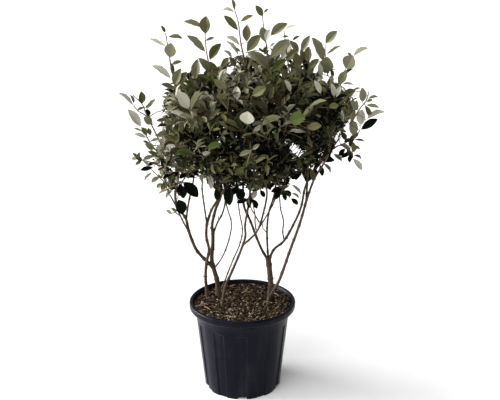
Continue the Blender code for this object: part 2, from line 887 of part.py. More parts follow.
class Growth:
    """The twigs and leaves of one mass, grown by a seeded rule from its bough's tip."""

    def __init__(self, mass, carrier, limbs):
        self.mass = mass
        self.rng = random.Random(mass.name)
        self.limbs = limbs  # name to search tree of each limb, swollen by the margin
        self.shoots = {tuple(Vector(shoot)) for shoot in SHOOTS}
        self.carrier = carrier
        self.twigs = []  # (body, its search tree, its points)
        self.leaves = []  # (body, its search tree)
        self.nodes = []  # (point, way, length from the foot, radius)

    def clear(self, bm, body, but=""):
        """True if a body stays inside the mass's space and touches no limb."""
        if not all(in_space(vert.co, self.mass) for vert in bm.verts):
            return False
        return not any(tree.overlap(body) for name, tree in self.limbs.items() if name != but)

    def grow(self, targets):
        """Grow the stem to the first target, and a twig to each further one."""
        way = directions(self.carrier.path)[-1]
        foot = self.carrier.path[-1] + way * GAP
        self.nodes.append((foot, way, 0.0, self.carrier.radii[-1]))
        for target in targets:
            order = sorted(self.nodes, key=lambda node: self.cost(node, target))
            for node in order[:TRIES]:
                if self.twig(node, target):
                    break
        for own in range(len(self.twigs)):
            self.leaf_twig(own)

    def cost(self, node, target):
        """How ill a node suits a twig to the target: far off, sharply turned or far from the foot."""
        point, way, run, _ = node
        step = target - point
        turn = 1 - way.dot(step.normalized())
        return step.length * (1 + TURN_COST * turn) + RUN_COST * run

    def twig(self, node, target):
        """Add a twig from a node to the target, if it stays clear. It sets off along its parent."""
        point, way, run, thick = node
        first = not self.twigs
        points = []
        if first:
            points.append(point)
            point = point + way * STRAIGHT_START
        step = target - point
        if step.length < LEAF_SPACING:
            return False
        bend = point + way * (TWIG_BEND * step.length)
        if tuple(target) in self.shoots:
            bend = target - (target - SHOOT_ROOT).normalized() * (TWIG_BEND * step.length)
        parts = max(2, round(step.length / TWIG_STEP))
        for part in range(parts + 1):
            t = part / parts
            points.append(point * (1 - t) ** 2 + bend * (2 * t * (1 - t)) + target * t**2)
        tip = TWIG_TIP_RADIUS
        root = thick if first else min(tip + TWIG_TAPER * step.length, TWIG_SHARE * thick)
        last = len(points) - 1
        radii = [root + (tip - root) * index / last for index in range(last + 1)]
        bm = bmesh.new()
        loft(bm, tube_rings(points, radii, TWIG_SIDES))
        bmesh.ops.recalc_face_normals(bm, faces=bm.faces)
        body = BVHTree.FromBMesh(bm)
        if not self.clear(bm, body, but=self.carrier.limb.name if first else ""):
            bm.free()
            return False
        self.twigs.append((bm, body, points))
        ways = directions(points)
        for index in range(1, len(points)):
            run += (points[index] - points[index - 1]).length
            self.nodes.append((points[index], ways[index], run, radii[index]))
        return True

    def leaf_twig(self, own):
        """Set leaves along a twig in a spiral, from its tip down, and leave its lower part bare."""
        points = self.twigs[own][2]
        lengths = [(b - a).length for a, b in zip(points, points[1:])]
        whole = sum(lengths)
        bare = BARE_SHARE * whole
        turn = self.rng.uniform(0, math.tau)
        run = whole
        while run > bare:
            left = run
            for a, b, length in zip(points, points[1:], lengths):
                if left <= length:
                    break
                left -= length
            way = (b - a).normalized()
            root = a + way * min(left, length)
            angle = LEAF_ANGLE if run < whole else 0.0
            for scale in LEAF_SCALES:
                turn += LEAF_TURN
                if self.leaf(own, root, way, turn, angle, scale):
                    break
            run -= LEAF_SPACING

    def leaf(self, own, root, way, turn, angle, scale):
        """Add one leaf at an angle to its twig, its face towards the light, if it stays clear."""
        angle += self.rng.uniform(-LEAF_STRAY, LEAF_STRAY)
        side = Matrix.Rotation(turn, 3, way) @ way.orthogonal().normalized()
        ahead = way * math.cos(angle) + side * math.sin(angle)
        rise = LEAF_RISE * (root - CROWN_MIDDLE).z / CROWN_REACH.z
        rise += self.rng.uniform(-LEAF_STRAY, LEAF_STRAY)
        ahead = (ahead + UP * rise).normalized()
        outwards = root - CROWN_MIDDLE
        light = UP + outwards.normalized() * LIGHT_OUTWARDS
        light += Vector(self.rng.uniform(-LIGHT_STRAY, LIGHT_STRAY) for _ in range(3))
        face = (light - ahead * light.dot(ahead)).normalized()
        sunk = root - ahead * (TWIG_TIP_RADIUS * LEAF_SUNK)
        bm = leaf_bmesh(leaf_shape(sunk, ahead, face, scale))
        body = BVHTree.FromBMesh(bm)
        others = [twig[1] for index, twig in enumerate(self.twigs) if index != own]
        others += [leaf[1] for leaf in self.leaves]
        tips = [vert.co for vert in bm.verts]
        kept_in = not in_crown(root) or all(in_crown(tip, LEAF_REACH) for tip in tips)
        if kept_in and self.clear(bm, body) and not any(other.overlap(body) for other in others):
            self.leaves.append((bm, body))
            return True
        bm.free()
        return False

    def build(self, finish):
        """Join stem, twigs and leaves into one closed body."""
        parts = bpy.data.collections.new("parts")
        bpy.context.scene.collection.children.link(parts)
        made = solid(self.mass.name, self.twigs[0][0], finish)
        for bm, *_ in self.twigs[1:] + self.leaves:
            mesh = bpy.data.meshes.new("piece")
            bm.to_mesh(mesh)
            bm.free()
            parts.objects.link(bpy.data.objects.new("piece", mesh))
        apply_boolean(made, "UNION", collection=parts)
        for piece in list(parts.objects):
            bpy.data.objects.remove(piece)
        bpy.data.collections.remove(parts)
        keep_main_body(made)
        return made


def targets_of(mass, points):
    """The ends of a mass's twigs: its middle, the shoots in its space, and the crown's points there."""
    middle = Vector(mass.middle)
    shoots = [Vector(shoot) for shoot in SHOOTS]
    own = [point for point in points if in_space(point, mass, END_MARGIN)]
    own = sorted(own[:TWIGS], key=lambda point: (point - middle).length)
    return [middle, *(tip for tip in shoots if in_space(tip, mass)), *own]


def main():
    """Model the plant and its pot."""
    for old in list(bpy.data.objects):
        bpy.data.objects.remove(old)
    pot_finish = material("pot_plastic", (0.018, 0.021, 0.028), 0.42)
    soil_finish = material("potting_soil", (0.105, 0.065, 0.038), 0.95)
    bark = material("bark", (0.170, 0.125, 0.085), 0.85)
    leaf = material("leaf", (0.090, 0.115, 0.045), 0.55)
    pot(pot_finish)
    soil(soil_finish)
    grown = {}
    for limb in LIMBS:
        grown[limb.name] = GrownLimb(limb, grown)
    for limb in LIMBS:
        beside = []
        if limb.parent:
            beside.append(grown[limb.parent])
            for other in LIMBS[: LIMBS.index(limb)]:
                if other.parent == limb.parent and abs(other.at - limb.at) < NEAR_SHARE:
                    beside.append(grown[other.name])
        limb_solid(grown[limb.name], beside, bark)
    trees = {name: limb.tree(LIMB_MARGIN) for name, limb in grown.items()}
    points = crown_points(CROWN_POINTS)
    for mass in MASSES:
        growth = Growth(mass, grown[mass.carrier], trees)
        growth.grow(targets_of(mass, points))
        growth.build(leaf)


main()
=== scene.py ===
"""The looks of an evergreen shrub with silver-backed leaves, grown in a round black nursery pot.

Metres, +Z up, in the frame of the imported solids: the origin is on the pot's axis at the level that
the pot stands on, and the side that is seen first faces -Y. The limbs' centre lines, the middles of
the foliage masses and the long shoots repeat those of the solids, and the crown grows by the same
rule, carried on to finer twigs and to leaves of their true size.
"""

import json
import logging
import math
import random
from collections.abc import Callable, Iterable, Mapping, Sequence
from dataclasses import dataclass, field
from enum import Enum

import bmesh
import bpy
import numpy as np
from mathutils import Matrix, Vector

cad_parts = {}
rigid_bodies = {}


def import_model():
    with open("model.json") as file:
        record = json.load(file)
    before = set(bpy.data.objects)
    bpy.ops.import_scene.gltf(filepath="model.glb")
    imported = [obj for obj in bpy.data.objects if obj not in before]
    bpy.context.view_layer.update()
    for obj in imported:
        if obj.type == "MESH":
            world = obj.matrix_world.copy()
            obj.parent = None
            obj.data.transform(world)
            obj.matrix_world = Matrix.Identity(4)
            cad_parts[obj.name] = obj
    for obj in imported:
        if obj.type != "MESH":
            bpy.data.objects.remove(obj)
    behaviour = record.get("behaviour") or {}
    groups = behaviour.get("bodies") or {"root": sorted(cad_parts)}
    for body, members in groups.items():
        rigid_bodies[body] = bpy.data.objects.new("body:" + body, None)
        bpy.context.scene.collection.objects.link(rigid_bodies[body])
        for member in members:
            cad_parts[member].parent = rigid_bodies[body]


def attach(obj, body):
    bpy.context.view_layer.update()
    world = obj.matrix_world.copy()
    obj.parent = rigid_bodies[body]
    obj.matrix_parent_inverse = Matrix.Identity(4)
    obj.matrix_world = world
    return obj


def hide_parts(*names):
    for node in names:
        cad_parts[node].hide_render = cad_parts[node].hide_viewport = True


LOG = logging.getLogger("potted_shrub")

UP = Vector((0.0, 0.0, 1.0))
SOIL_TOP = 0.3
GOLDEN_TURN = math.radians(137.5)

Pair = tuple[float, float]
Point = tuple[float, float, float]
Colour = Point


@dataclass(frozen=True)
class Limb:
    """A stem or bough. through holds the points that it passes after its root."""

    name: str
    root_radius: float
    tip_radius: float
    parent: str
    at: float  # where it leaves its parent, as a share of the parent's length
    through: tuple[Point, ...]


LIMBS = (
    Limb("stem_left", 0.005, 0.0042, "", 0.0, (
        (-0.121, 0.049, SOIL_TOP), (-0.127, 0.052, 0.367), (-0.122, 0.045, 0.428), (-0.113, 0.036, 0.476),
        (-0.121, 0.03, 0.528), (-0.117, 0.022, 0.59),
    )),
    Limb("stem_left_thick", 0.0082, 0.0054, "", 0.0, (
        (-0.083, 0.059, SOIL_TOP), (-0.088, 0.066, 0.35), (-0.105, 0.07, 0.422), (-0.101, 0.066, 0.486),
        (-0.1, 0.062, 0.532),
    )),
    Limb("stem_middle", 0.0044, 0.0038, "", 0.0, (
        (-0.066, -0.029, SOIL_TOP), (-0.059, -0.026, 0.362), (-0.039, -0.028, 0.413),
        (-0.014, -0.036, 0.477), (0.006, -0.045, 0.534),
    )),
    Limb("stem_slender", 0.0024, 0.0018, "", 0.0, (
        (-0.074, 0.105, SOIL_TOP), (-0.061, 0.118, 0.333), (-0.034, 0.14, 0.398), (-0.01, 0.155, 0.452),
        (-0.001, 0.17, 0.503), (-0.012, 0.195, 0.56), (-0.018, 0.225, 0.63), (-0.005, 0.25, 0.7),
    )),
    Limb("stem_right_thick", 0.0082, 0.0088, "", 0.0, (
        (0.094, 0.024, SOIL_TOP), (0.097, 0.032, 0.35), (0.093, 0.04, 0.396), (0.087, 0.046, 0.447),
    )),
    Limb("stem_right", 0.005, 0.0038, "", 0.0, (
        (0.087, 0.0, SOIL_TOP), (0.1, 0.002, 0.331), (0.125, -0.004, 0.383), (0.157, -0.022, 0.492),
        (0.187, -0.048, 0.598), (0.209, -0.075, 0.7),
    )),
    Limb("bough_upper_front", 0.004, 0.003, "stem_left", 0.94, (
        (-0.1, 0.012, 0.63), (-0.069, 0.0, 0.682), (-0.039, -0.025, 0.741), (-0.018, -0.06, 0.8),
        (-0.026, -0.095, 0.88), (-0.044, -0.12, 0.95),
    )),
    Limb("bough_front_left", 0.0026, 0.0022, "stem_left", 0.95, (
        (-0.124, -0.01, 0.648), (-0.127, -0.06, 0.718), (-0.122, -0.12, 0.785), (-0.124, -0.155, 0.815),
    )),
    Limb("bough_upper_left", 0.0048, 0.0032, "stem_left_thick", 0.95, (
        (-0.102, 0.058, 0.561), (-0.088, 0.047, 0.622), (-0.072, 0.036, 0.672), (-0.086, 0.022, 0.76),
        (-0.122, 0.004, 0.85), (-0.155, -0.01, 0.94),
    )),
    Limb("bough_core_left", 0.003, 0.0024, "stem_left_thick", 0.96, (
        (-0.085, 0.072, 0.56), (-0.068, 0.084, 0.59), (-0.058, 0.092, 0.63), (-0.055, 0.088, 0.69),
    )),
    Limb("bough_left", 0.0056, 0.0032, "stem_left_thick", 0.44, (
        (-0.129, 0.062, 0.431), (-0.158, 0.05, 0.474), (-0.179, 0.035, 0.541), (-0.188, 0.02, 0.594),
        (-0.213, 0.0, 0.644), (-0.218, -0.01, 0.692), (-0.206, -0.024, 0.752), (-0.218, -0.02, 0.795),
    )),
    Limb("bough_left_back", 0.003, 0.0024, "bough_left", 0.5, (
        (-0.182, 0.035, 0.624), (-0.175, 0.06, 0.66), (-0.164, 0.1, 0.711), (-0.168, 0.14, 0.755),
    )),
    Limb("bough_left_front", 0.0026, 0.002, "bough_left", 0.38, (
        (-0.194, 0.006, 0.584), (-0.205, -0.045, 0.637), (-0.215, -0.095, 0.688), (-0.226, -0.125, 0.725),
    )),
    Limb("bough_upper_back_left", 0.0022, 0.0018, "stem_left_thick", 0.42, (
        (-0.074, 0.085, 0.423), (-0.055, 0.1, 0.462), (-0.041, 0.13, 0.506), (-0.04, 0.145, 0.543),
        (-0.055, 0.162, 0.59), (-0.078, 0.18, 0.69), (-0.096, 0.186, 0.8), (-0.1, 0.176, 0.955),
    )),
    Limb("bough_upper_front_right", 0.0034, 0.0026, "stem_middle", 0.95, (
        (0.011, -0.052, 0.56), (0.01, -0.075, 0.605), (0.02, -0.11, 0.678), (0.028, -0.138, 0.75),
        (0.046, -0.15, 0.84), (0.085, -0.165, 0.955),
    )),
    Limb("bough_front", 0.0032, 0.0024, "stem_middle", 0.96, (
        (0.031, -0.06, 0.556), (0.052, -0.08, 0.592), (0.068, -0.12, 0.661), (0.078, -0.17, 0.74),
        (0.068, -0.215, 0.8),
    )),
    Limb("bough_core_right", 0.0022, 0.0018, "bough_front", 0.26, (
        (0.074, -0.076, 0.628), (0.096, -0.07, 0.666), (0.109, -0.058, 0.695), (0.124, -0.04, 0.74),
    )),
    Limb("bough_top", 0.0042, 0.0028, "stem_right_thick", 0.9, (
        (0.065, 0.052, 0.473), (0.046, 0.06, 0.518), (0.027, 0.07, 0.568), (0.004, 0.078, 0.628),
        (0.006, 0.068, 0.74), (0.024, 0.046, 0.87), (0.04, 0.022, 0.98),
    )),
    Limb("bough_upper_back_right", 0.0034, 0.0024, "stem_right_thick", 0.93, (
        (0.085, 0.062, 0.485), (0.084, 0.08, 0.539), (0.091, 0.108, 0.59), (0.108, 0.128, 0.64),
        (0.124, 0.148, 0.74), (0.14, 0.164, 0.83), (0.148, 0.175, 0.958),
    )),
    Limb("bough_right", 0.0042, 0.0028, "stem_right_thick", 0.9, (
        (0.107, 0.045, 0.474), (0.141, 0.04, 0.508), (0.172, 0.03, 0.571), (0.195, 0.02, 0.635),
        (0.21, 0.012, 0.715), (0.25, 0.016, 0.78), (0.285, 0.022, 0.825),
    )),
    Limb("bough_right_back", 0.0022, 0.0018, "bough_right", 0.21, (
        (0.137, 0.066, 0.532), (0.14, 0.09, 0.561), (0.13, 0.128, 0.6), (0.132, 0.162, 0.65),
        (0.165, 0.196, 0.71), (0.2, 0.218, 0.77),
    )),
    Limb("bough_right_front", 0.0034, 0.0028, "stem_right", 0.97, (
        (0.224, -0.092, 0.754), (0.238, -0.118, 0.795), (0.25, -0.142, 0.825),
    )),
    Limb("bough_upper_right", 0.003, 0.0026, "stem_right", 0.96, (
        (0.208, -0.07, 0.745), (0.21, -0.062, 0.8), (0.222, -0.052, 0.87), (0.236, -0.04, 0.955),
    )),
)


@dataclass(frozen=True)
class Mass:
    """One mass of foliage: the limb that it grows from, and the middle of its space."""

    name: str
    carrier: str
    middle: Vector


# The middle of each mass's space, by its place in the crown
MIDDLES = {
    "front_left": (-0.105, -0.24, 0.86), "front": (0.08, -0.23, 0.85), "right_front": (0.27, -0.185, 0.9),
    "right": (0.325, 0.02, 0.88), "right_back": (0.24, 0.205, 0.875), "back": (0.03, 0.25, 0.86),
    "left_back": (-0.165, 0.2, 0.865), "left": (-0.245, 0.03, 0.87), "left_front": (-0.22, -0.145, 0.86),
    "core_left": (-0.045, 0.02, 0.815), "core_right": (0.14, 0.0, 0.815),
    "upper_front": (-0.07, -0.18, 1.03), "upper_front_right": (0.13, -0.185, 1.03),
    "upper_left": (-0.185, -0.02, 1.03), "upper_back_left": (-0.1, 0.175, 1.025),
    "upper_back_right": (0.145, 0.19, 1.03), "upper_right": (0.25, -0.01, 1.03), "top": (0.04, 0.01, 1.05),
}

# Each mass grows from the bough of its place, and the one at the back straight from a stem
MASSES = tuple(
    Mass("foliage_" + place, "stem_slender" if place == "back" else "bough_" + place, Vector(middle))
    for place, middle in MIDDLES.items()
)

# Ends of the long shoots that stand out of the crown, each short of its tip by one leaf
SHOOTS = (
    # round the top and the sides that the first view shows
    (-0.218, -0.12, 1.15), (-0.107, -0.065, 1.165), (-0.016, -0.02, 1.216), (0.068, -0.08, 1.203),
    (0.165, 0.0, 1.13), (0.203, -0.05, 1.12), (0.272, 0.05, 1.12), (0.335, 0.0, 1.09), (0.37, -0.07, 0.985),
    (0.372, -0.045, 0.9), (0.345, 0.0, 0.84), (-0.318, -0.11, 1.0), (-0.262, -0.12, 0.865),
    (-0.258, -0.1, 0.785), (-0.232, -0.12, 0.735),
    # the underside
    (-0.03, -0.06, 0.705), (0.085, -0.07, 0.7), (0.14, -0.03, 0.7),
    # the sides that the first view hides
    (-0.12, 0.15, 1.16), (0.14, 0.16, 1.155), (0.02, 0.31, 1.01), (-0.24, 0.22, 0.965), (0.32, 0.2, 0.985),
    (0.03, -0.31, 0.9),
)


class Socket:
    """A node's output that takes part in Python expressions."""

    def __init__(self, shader: "Shader", output: bpy.types.NodeSocket) -> None:
        """Keep the output and the shader that it belongs to."""
        self.shader = shader
        self.output = output

    def __add__(self, other: "Operand") -> "Socket":
        """The sum."""
        return self.shader.node("ShaderNodeMath", {"operation": "ADD"}, {0: self, 1: other})

    def __mul__(self, other: "Operand") -> "Socket":
        """The product."""
        return self.shader.node("ShaderNodeMath", {"operation": "MULTIPLY"}, {0: self, 1: other})

    __radd__ = __add__
    __rmul__ = __mul__


Operand = Socket | float


class Shader:
    """The nodes of one material."""

    def __init__(self, name: str) -> None:
        """Start a material of that name."""
        self.material = bpy.data.materials.new(name)
        self.material.use_nodes = True
        self.tree = self.material.node_tree

    def node(
        self,
        kind: str,
        settings: Mapping[str, object] | None = None,
        inputs: Mapping[int | str, object] | None = None,
        output: int | str = 0,
    ) -> Socket:
        """Add a node.

        Args:
            kind: The node's type.
            settings: Its own settings, set before its sockets, a ramp's colour stops among them.
            inputs: Values or links of its sockets, by name or number.
            output: The output that is wanted.

        Returns:
            That output.
        """
        made = self.tree.nodes.new(kind)
        for name, value in (settings or {}).items():
            if name == "stops":
                self.set_stops(made.color_ramp.elements, value)
            else:
                setattr(made, name, value)
        for name, value in (inputs or {}).items():
            self.feed(made.inputs[name], value)
        return Socket(self, made.outputs[output])

    @staticmethod
    def set_stops(elements: bpy.types.ColorRampElements, stops: Sequence[Pair]) -> None:
        """Set a ramp's stops.

        Args:
            elements: The ramp's own stops.
            stops: The place and the grey level of each.
        """
        while len(elements) < len(stops):
            elements.new(1.0)
        for element, (place, level) in zip(elements, stops):
            element.position = place
            element.color = (level, level, level, 1.0)

    def feed(self, socket: bpy.types.NodeSocket, value: object) -> None:
        """Link a socket, or set its value.

        Args:
            socket: The socket.
            value: An output to link, a colour or a number.
        """
        if isinstance(value, Socket):
            self.tree.links.new(value.output, socket)
        else:
            socket.default_value = (*value, 1.0) if socket.type == "RGBA" else value

    def place(self, stretch: Point) -> Socket:
        """Where a point lies on its piece, with each direction scaled."""
        coordinates = self.node("ShaderNodeTexCoord", output="Object")
        return self.node("ShaderNodeMapping", None, {"Vector": coordinates, "Scale": stretch})

    def noise(self, scale: float, detail: float, stretch: Point = (1.0, 1.0, 1.0)) -> Socket:
        """Soft random patches from 0 to 1.

        Args:
            scale: Patches for each metre.
            detail: How many finer layers are added.
            stretch: Scale along each axis.

        Returns:
            The patches' value.
        """
        inputs = {"Vector": self.place(stretch), "Scale": scale, "Detail": detail, "Roughness": 0.6}
        return self.node("ShaderNodeTexNoise", None, inputs)

    def cells(self, scale: float, stretch: Point = (1.0, 1.0, 1.0)) -> Socket:
        """Distance from the middle of a random cell, for grains and specks."""
        inputs = {"Vector": self.place(stretch), "Scale": scale}
        return self.node("ShaderNodeTexVoronoi", None, inputs, "Distance")

    def ramp(self, value: Socket, *stops: Pair) -> Socket:
        """A value bent through a ramp of (place, level) stops."""
        return self.node("ShaderNodeValToRGB", {"stops": stops}, {"Fac": value})

    def blend(self, share: Operand, low: Colour | Socket, high: Colour | Socket) -> Socket:
        """A colour between two others."""
        return self.node("ShaderNodeMix", {"data_type": "RGBA"}, {0: share, 6: low, 7: high}, 2)

    def relief(self, height: Socket, depth: float, strength: float) -> Socket:
        """The normal of a surface whose height goes from 0 to 1 within a depth."""
        inputs = {"Height": height, "Distance": depth, "Strength": strength}
        return self.node("ShaderNodeBump", None, inputs)

    def finish(self, **values: object) -> bpy.types.Material:
        """Set the surface's sockets.

        Args:
            values: Their values or links, by their names with underscores for the blanks.

        Returns:
            The material.
        """
        surface = self.tree.nodes["Principled BSDF"]
        for name, value in values.items():
            self.feed(surface.inputs[name.replace("_", " ")], value)
        return self.material


@dataclass(frozen=True)
class PotPlastic:
    """Satin moulded plastic, near black with a blue cast, and lightly dusty."""

    colour: Colour = (0.0008, 0.0014, 0.006)
    dust: Colour = (0.028, 0.029, 0.033)
    cover: float = 0.35  # how much of the plastic the thickest dust hides
    roughness: float = 0.33
    dusty_roughness: float = 0.1
    scuffed_roughness: float = 0.12
    shine: float = 0.1

    def material(self) -> bpy.types.Material:
        """The finish as a material."""
        shader = Shader("pot_plastic")
        dusty = shader.noise(scale=26.0, detail=5.0, stretch=(1.0, 1.0, 0.35))
        dusty = shader.ramp(dusty, (0.5, 0.0), (0.8, 1.0))
        grain = shader.noise(scale=900.0, detail=2.0)
        scuffs = shader.noise(scale=60.0, detail=6.0, stretch=(1.0, 1.0, 0.2))
        scuffs = shader.ramp(scuffs, (0.45, 0.0), (0.75, 1.0))
        return shader.finish(
            Base_Color=shader.blend(dusty * self.cover, self.colour, self.dust),
            Roughness=self.roughness + dusty * self.dusty_roughness + scuffs * self.scuffed_roughness,
            Normal=shader.relief(grain, depth=0.0004, strength=0.35),
            Specular_IOR_Level=self.shine,
        )


@dataclass(frozen=True)
class Compost:
    """Moist bark and peat between the coarse pieces."""

    dark: Colour = (0.005, 0.003, 0.002)
    light: Colour = (0.04, 0.025, 0.015)

    def material(self) -> bpy.types.Material:
        """The finish as a material."""
        shader = Shader("potting_soil")
        grain = shader.cells(scale=260.0)
        patches = shader.ramp(shader.noise(scale=90.0, detail=5.0), (0.35, 0.0), (0.7, 1.0))
        return shader.finish(
            Base_Color=shader.blend(patches, self.dark, self.light),
            Roughness=0.9,
            Specular_IOR_Level=0.05,
            Normal=shader.relief(grain, depth=0.003, strength=0.9),
        )


@dataclass(frozen=True)
class Crumb:
    """A piece of bark, peat or grit in the compost."""

    name: str
    colour: Colour
    share: float  # how many of all the pieces are of this kind
    darkest: float = 0.55  # its darkest tone, as a share of its colour

    def material(self) -> bpy.types.Material:
        """The finish as a material, a little uneven in tone."""
        shader = Shader("crumb_" + self.name)
        patches = shader.ramp(shader.noise(scale=150.0, detail=3.0), (0.3, 0.0), (0.7, 1.0))
        darker = tuple(level * self.darkest for level in self.colour)
        return shader.finish(
            Base_Color=shader.blend(patches, darker, self.colour),
            Roughness=0.85,
            Specular_IOR_Level=0.05,
            Normal=shader.relief(shader.noise(scale=700.0, detail=2.0), depth=0.001, strength=0.5),
        )


CRUMBS = (
    Crumb("dark", (0.01, 0.006, 0.004), 0.33),
    Crumb("brown", (0.082, 0.05, 0.03), 0.28),
    Crumb("tan", (0.2, 0.138, 0.085), 0.26),
    Crumb("pale", (0.34, 0.265, 0.175), 0.1),
    Crumb("white", (0.56, 0.49, 0.39), 0.03),
)


@dataclass(frozen=True)
class Bark:
    """Thin grey-brown bark with fine cracks along the limb and pale specks."""

    dark: Colour = (0.018, 0.011, 0.007)
    light: Colour = (0.105, 0.074, 0.046)
    speck: Colour = (0.29, 0.235, 0.165)
    speck_cover: float = 0.45
    speck_height: float = 0.5
    streak_share: float = 0.55  # of the tone, the rest of which comes from the wide patches

    def material(self) -> bpy.types.Material:
        """The finish as a material."""
        shader = Shader("bark")
        streaks = shader.noise(scale=220.0, detail=5.0, stretch=(1.0, 1.0, 0.22))
        patches = shader.noise(scale=38.0, detail=4.0)
        specks = shader.cells(scale=330.0, stretch=(1.0, 1.0, 1.6))
        specks = shader.ramp(specks, (0.1, 1.0), (0.24, 0.0))
        tone = streaks * self.streak_share + patches * (1 - self.streak_share)
        tone = shader.blend(shader.ramp(tone, (0.36, 0.0), (0.64, 1.0)), self.dark, self.light)
        return shader.finish(
            Base_Color=shader.blend(specks * self.speck_cover, tone, self.speck),
            Roughness=0.72,
            Specular_IOR_Level=0.12,
            Normal=shader.relief(streaks + specks * self.speck_height, depth=0.0012, strength=0.8),
        )


@dataclass(frozen=True)
class PlainFinish:
    """One even colour, for things whose colour has its own place: leaves and thin twigs."""

    name: str
    colour: Colour
    roughness: float
    shine: float = 0.12

    def material(self) -> bpy.types.Material:
        """The finish as a material."""
        shader = Shader(self.name)
        return shader.finish(
            Base_Color=self.colour, Roughness=self.roughness, Specular_IOR_Level=self.shine
        )


class LeafTone(Enum):
    """The greens of the leaves' upper sides, and the silver tones of scaly or turned ones. SHADED and DARK
    are painted shade, the near-black greens of leaves in shade; the lighter greens are dealt more where the
    light falls, partly painted light.
    """

    SHADED = PlainFinish("leaf_shaded", (0.0045, 0.0065, 0.0035), 0.5, 0.02)
    DARK = PlainFinish("leaf_dark", (0.034, 0.036, 0.015), 0.42, 0.06)
    OLIVE = PlainFinish("leaf_olive", (0.102, 0.098, 0.041), 0.4, 0.08)
    MOSS = PlainFinish("leaf_moss", (0.172, 0.166, 0.098), 0.45, 0.08)
    FRESH = PlainFinish("leaf_fresh", (0.064, 0.082, 0.02), 0.4, 0.08)
    SILVERED = PlainFinish("leaf_silvered", (0.4, 0.388, 0.31), 0.5)
    PALE = PlainFinish("leaf_pale", (0.44, 0.425, 0.34), 0.5)


class BackTone(Enum):
    """The tones of the leaves' scaly undersides. DIM is painted shade, the underside of the leaves with the
    painted shade greens deep in the crown.
    """

    SILVER = PlainFinish("leaf_back_silver", (0.44, 0.43, 0.33), 0.55)
    DULL = PlainFinish("leaf_back_dull", (0.15, 0.145, 0.1), 0.6)
    DIM = PlainFinish("leaf_back_dim", (0.055, 0.057, 0.038), 0.6, 0.05)


SHADED, DARK, OLIVE, MOSS, FRESH, SILVERED, PALE = LeafTone
# the tones that stand for shade: painted shade
PAINTED_SHADE_TONES = (SHADED, DARK)
STICK_WOOD = PlainFinish("stick_wood", (0.42, 0.34, 0.245), 0.8, 0.05)
TWIG_BARK = PlainFinish("twig_bark", (0.118, 0.08, 0.054), 0.75)

# A leaf as the first view shows it: its root across and down, its tip across and down, its tone, and its
# width as it is seen, as a share of its length. The SHADED and DARK tones are painted shade, for leaves
# that lie in shade.
SetLeaf = tuple[float, float, float, float, LeafTone, float]


@dataclass(frozen=True)
class Leader:
    """A long shoot's last part, which stands out of the crown, in places of the first view."""

    depth: float  # the Y of its tip
    stem: tuple[Pair, ...]  # from its foot to its tip
    leaves: tuple[SetLeaf, ...]
    foot_depth: float | None = None  # the Y of its foot, where it is another one


